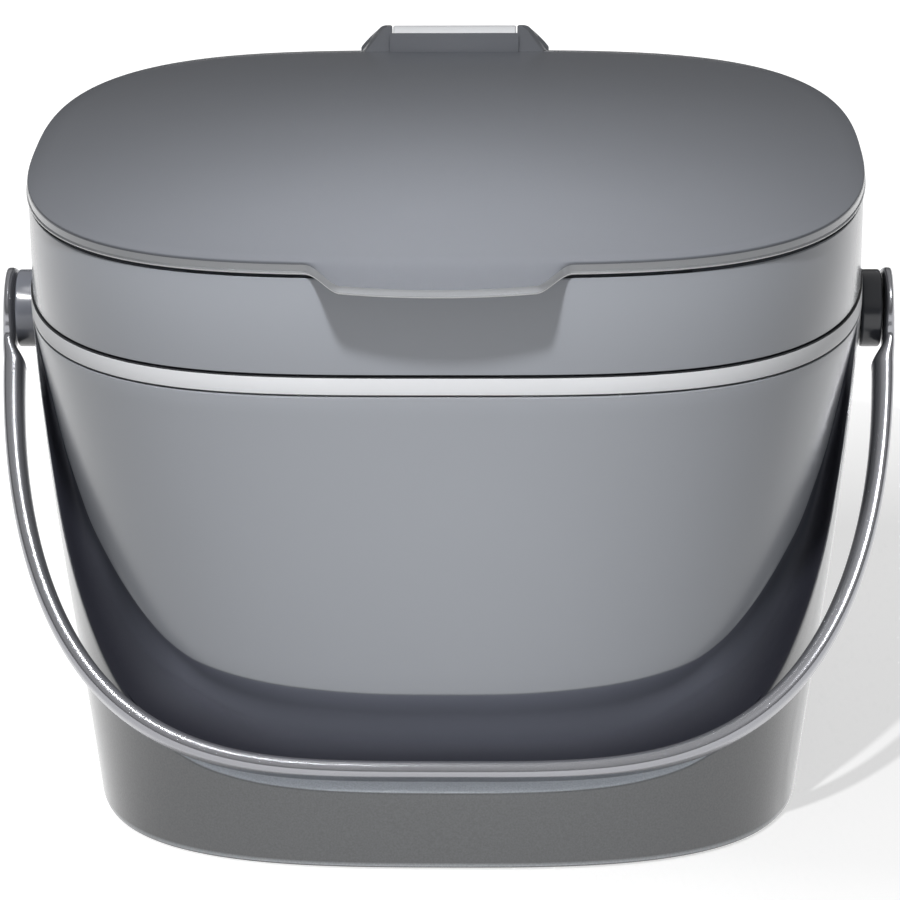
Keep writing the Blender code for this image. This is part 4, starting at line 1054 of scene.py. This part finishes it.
tub = make_tub(turns, face_charcoal, recess_charcoal, skirt_charcoal)
make_collar(turns, collar_shaded_charcoal, gap_painted_shadow)
make_band(turns, pale, gap_painted_shadow)
bail = make_handle(handle_grey)
drums = make_drums(drum_shaded_charcoal)
lid = make_lid(turns, lid_shaded_charcoal, rim_lit_charcoal, bead_highlight)
paint_node("lid_liner", moulded("liner_charcoal", LINER_CHARCOAL, roughness=0.42, grain=0.2))
paint_node("lid_seal", moulded("silicone", SILICONE, roughness=0.6, grain=0.2))
make_bucket(turns, moulded("bucket_grey", BUCKET_GREY, roughness=0.4, grain=0.2))
paint_node("base_plate", collar_shaded_charcoal)
for foot in ("foot_front_left", "foot_front_right", "foot_rear_left", "foot_rear_right"):
    paint_node(foot, moulded(f"rubber_{foot}", RUBBER, roughness=0.75, grain=0.6))
steel = moulded("steel", STEEL, roughness=0.32, grain=0.2, speckle=0.06, Metallic=1.0)
for pin in ("hinge_pin", "pivot_pin_left", "pivot_pin_right", "pin_retainer_left", "pin_retainer_right"):
    paint_node(pin, steel)

# Camera, as fitted to the photograph.
CAMERA_AZIMUTH = math.radians(1.306)
CAMERA_ELEVATION = math.radians(21.61)
CAMERA_ROLL = -0.00735
CAMERA_AIM_HEIGHT = 0.04625
CAMERA_DISTANCE = 0.9148
CAMERA_FOCAL_MM = 157.66
CAMERA_SENSOR_MM = 36
CAMERA_SHIFT = 79.5 / 900
CAMERA_NEAR = 0.01
CAMERA_FAR = 50

# World: white to the camera, a faint fill to dull surfaces, and dark below and grey above in mirrors.
SKY_FILL = 0.25
BACK_LOW = 0.10
BACK_HIGH = 0.45
BACK_FROM = 0.2
BACK_TO = 0.5

# Floor: it glows white, less so round the middle of the shadow, which paints part of the floor's shadow over
# the floor lamp's real one, and it bounces little onto dull surfaces.
FLOOR_REACH = 6.0
FLOOR_HEIGHT = -0.0001
FLOOR_GREY = (0.5, 0.5, 0.5)
FLOOR_ROUGHNESS = 0.6
PAINTED_SHADOW_GLOW = 0.60
FLOOR_BOUNCE = 0.04
FLOOR_MIRROR = 1.0
SHADOW_MIDDLE = (0.10, 0.02, 0.0)
SHADOW_INNER = 0.10
SHADOW_OUTER = 0.26

# Lamps: the point aimed at, the way from it to the lamp, how many times that way, width, height, power.
LAMPS = {
    "key": ((0, -0.085, 0.125), (-0.10, -0.52, 1.0), 0.28, 0.03, 0.03, 1.28),
    "top": ((0, 0, 0.1), (-0.12, -0.25, 0.95), 0.9, 0.3, 0.3, 1.3),
    "lid_lamp": ((-0.004, -0.078, LID_RIM_TOP), (0, 0, 1.0), 0.13, 0.10, 0.03, 0.25),
    "front": ((0, -0.08, 0.068), (-0.07, -1.0, 0.25), 0.9, 0.06, 0.06, 0.013),
    "sheen": ((0, -0.04, 0.06), (-0.2, -0.35, 0.95), 0.6, 0.05, 0.05, 0.35),
    "drum_lamp": ((-0.09, 0, PIVOT_HEIGHT), (-0.25, -0.55, 0.75), 0.35, 0.25, 0.01, 3.0),
    "side_sheen": ((0.05, -0.04, 0.06), (0.5, -0.35, 0.8), 0.6, 0.16, 0.16, 2.1),
    "floor_lamp": ((0, 0, 0), (-0.30, -0.80, 1.0), 1.0, 0.04, 0.04, 9.5),
}
FRONT_SPREAD = math.radians(12)

scene = bpy.context.scene
back = Vector(
    (
        math.sin(CAMERA_AZIMUTH) * math.cos(CAMERA_ELEVATION),
        -math.cos(CAMERA_AZIMUTH) * math.cos(CAMERA_ELEVATION),
        math.sin(CAMERA_ELEVATION),
    )
)
place = Vector((0, 0, CAMERA_AIM_HEIGHT)) + back * CAMERA_DISTANCE
right = Vector((math.cos(CAMERA_AZIMUTH), math.sin(CAMERA_AZIMUTH), 0))
up = back.cross(right)
rolled = right * math.cos(CAMERA_ROLL) + up * math.sin(CAMERA_ROLL)
upward = back.cross(rolled)
lens = bpy.data.cameras.new("camera")
camera = bpy.data.objects.new("camera", lens)
scene.collection.objects.link(camera)
camera.matrix_world = Matrix(
    (
        (rolled.x, upward.x, back.x, place.x),
        (rolled.y, upward.y, back.y, place.y),
        (rolled.z, upward.z, back.z, place.z),
        (0, 0, 0, 1),
    )
)
lens.lens = CAMERA_FOCAL_MM
lens.sensor_width = CAMERA_SENSOR_MM
lens.shift_y = CAMERA_SHIFT
lens.clip_start = CAMERA_NEAR
lens.clip_end = CAMERA_FAR
scene.camera = camera

world = bpy.data.worlds.new("studio")
scene.world = world
world.use_nodes = True
tree = world.node_tree
backdrop = tree.nodes["Background"]
direction = tree.nodes.new("ShaderNodeTexCoord")
parts = tree.nodes.new("ShaderNodeSeparateXYZ")
climb = tree.nodes.new("ShaderNodeMapRange")
rays = tree.nodes.new("ShaderNodeLightPath")
glossy_level = tree.nodes.new("ShaderNodeMix")
level = tree.nodes.new("ShaderNodeMix")
tree.links.new(direction.outputs["Generated"], parts.inputs[0])
tree.links.new(parts.outputs["Z"], climb.inputs["Value"])
climb.inputs["From Min"].default_value = BACK_FROM
climb.inputs["From Max"].default_value = BACK_TO
climb.inputs["To Min"].default_value = BACK_LOW
climb.inputs["To Max"].default_value = BACK_HIGH
glossy_level.inputs["A"].default_value = SKY_FILL
tree.links.new(rays.outputs["Is Glossy Ray"], glossy_level.inputs["Factor"])
tree.links.new(climb.outputs["Result"], glossy_level.inputs["B"])
tree.links.new(rays.outputs["Is Camera Ray"], level.inputs["Factor"])
tree.links.new(glossy_level.outputs["Result"], level.inputs["A"])
level.inputs["B"].default_value = 1.0
backdrop.inputs["Color"].default_value = (1.0, 1.0, 1.0, 1.0)
tree.links.new(level.outputs["Result"], backdrop.inputs["Strength"])

floor_mesh = bpy.data.meshes.new("floor")
corners = [(-FLOOR_REACH, -FLOOR_REACH, 0), (FLOOR_REACH, -FLOOR_REACH, 0)]
corners += [(FLOOR_REACH, FLOOR_REACH, 0), (-FLOOR_REACH, FLOOR_REACH, 0)]
floor_mesh.from_pydata(corners, [], [(0, 1, 2, 3)])
floor = bpy.data.objects.new("floor", floor_mesh)
floor.location.z = FLOOR_HEIGHT
scene.collection.objects.link(floor)
white = material("floor_white", FLOOR_GREY, FLOOR_ROUGHNESS)
shader = white.node_tree.nodes["Principled BSDF"]
# Painted shadow: the glow dims round the middle of the floor's shadow.
spot = add_node(white, "ShaderNodeTexCoord")
length = add_node(white, "ShaderNodeVectorMath", operation="LENGTH")
glow_with_painted_shadow = add_node(white, "ShaderNodeMapRange")
shadow_side = add_node(white, "ShaderNodeVectorMath", operation="SUBTRACT")
shadow_side.inputs[1].default_value = SHADOW_MIDDLE
link(white, spot, "Object", shadow_side, 0)
link(white, shadow_side, "Vector", length, 0)
link(white, length, "Value", glow_with_painted_shadow, "Value")
glow_with_painted_shadow.inputs["From Min"].default_value = SHADOW_INNER
glow_with_painted_shadow.inputs["From Max"].default_value = SHADOW_OUTER
glow_with_painted_shadow.inputs["To Min"].default_value = PAINTED_SHADOW_GLOW
glow_with_painted_shadow.inputs["To Max"].default_value = 1.0
shader.inputs["Emission Color"].default_value = (1.0, 1.0, 1.0, 1.0)
seen = add_node(white, "ShaderNodeLightPath")
mirror = add_node(white, "ShaderNodeMix")
shown = add_node(white, "ShaderNodeMix")
mirror.inputs["A"].default_value = FLOOR_BOUNCE
mirror.inputs["B"].default_value = FLOOR_MIRROR
link(white, seen, "Is Glossy Ray", mirror, "Factor")
link(white, seen, "Is Camera Ray", shown, "Factor")
link(white, mirror, "Result", shown, "A")
link(white, glow_with_painted_shadow, "Result", shown, "B")
link(white, shown, "Result", shader, "Emission Strength")
shader.inputs["Specular IOR Level"].default_value = 0.0
floor_mesh.materials.append(white)


def area_light(name):
    aim, way, distance, width, height, power = LAMPS[name]
    lamp = bpy.data.lights.new(name, "AREA")
    lamp.shape = "DISK" if width == height else "ELLIPSE"
    lamp.size = width
    lamp.size_y = height
    lamp.energy = power
    made = bpy.data.objects.new(name, lamp)
    scene.collection.objects.link(made)
    offset = Vector(way) * distance
    made.location = Vector(aim) + offset
    made.rotation_euler = offset.to_track_quat("Z", "Y").to_euler()
    made.visible_camera = False
    return made


def linked(name, state, *pieces):
    """Collection of the pieces that a lamp lights alone (INCLUDE) or leaves out (EXCLUDE)."""
    group = bpy.data.collections.new(name)
    for piece in pieces:
        group.objects.link(piece)
    for member in group.collection_objects:
        member.light_linking.link_state = state
    return group


key = area_light("key")
key.visible_glossy = False
key.light_linking.receiver_collection = linked("not_lit_by_key", "EXCLUDE", lid, floor)
key.light_linking.blocker_collection = linked("no_key_shadow", "EXCLUDE", bail, tub)
top = area_light("top")
top.light_linking.receiver_collection = linked("not_lit_by_top", "EXCLUDE", lid, bail, floor)
lid_lamp = area_light("lid_lamp")
lid_lamp.visible_glossy = False
lid_lamp.light_linking.receiver_collection = linked("lit_by_lid_lamp", "INCLUDE", lid)
front = area_light("front")
front.visible_glossy = False
front.data.spread = FRONT_SPREAD
sheen = area_light("sheen")
sheen.light_linking.receiver_collection = linked("lit_by_sheen", "INCLUDE", bail)
drum_lamp = area_light("drum_lamp")
drum_lamp.light_linking.receiver_collection = linked("lit_by_drum_lamp", "INCLUDE", drums[0])
drum_lamp.light_linking.blocker_collection = linked("no_drum_lamp_shadow", "EXCLUDE", bail)
side_sheen = area_light("side_sheen")
side_sheen.light_linking.receiver_collection = linked("lit_by_side_sheen", "INCLUDE", bail)
floor_lamp = area_light("floor_lamp")
floor_lamp.light_linking.receiver_collection = linked("lit_by_floor_lamp", "INCLUDE", floor)

scene.view_settings.view_transform = "Standard"
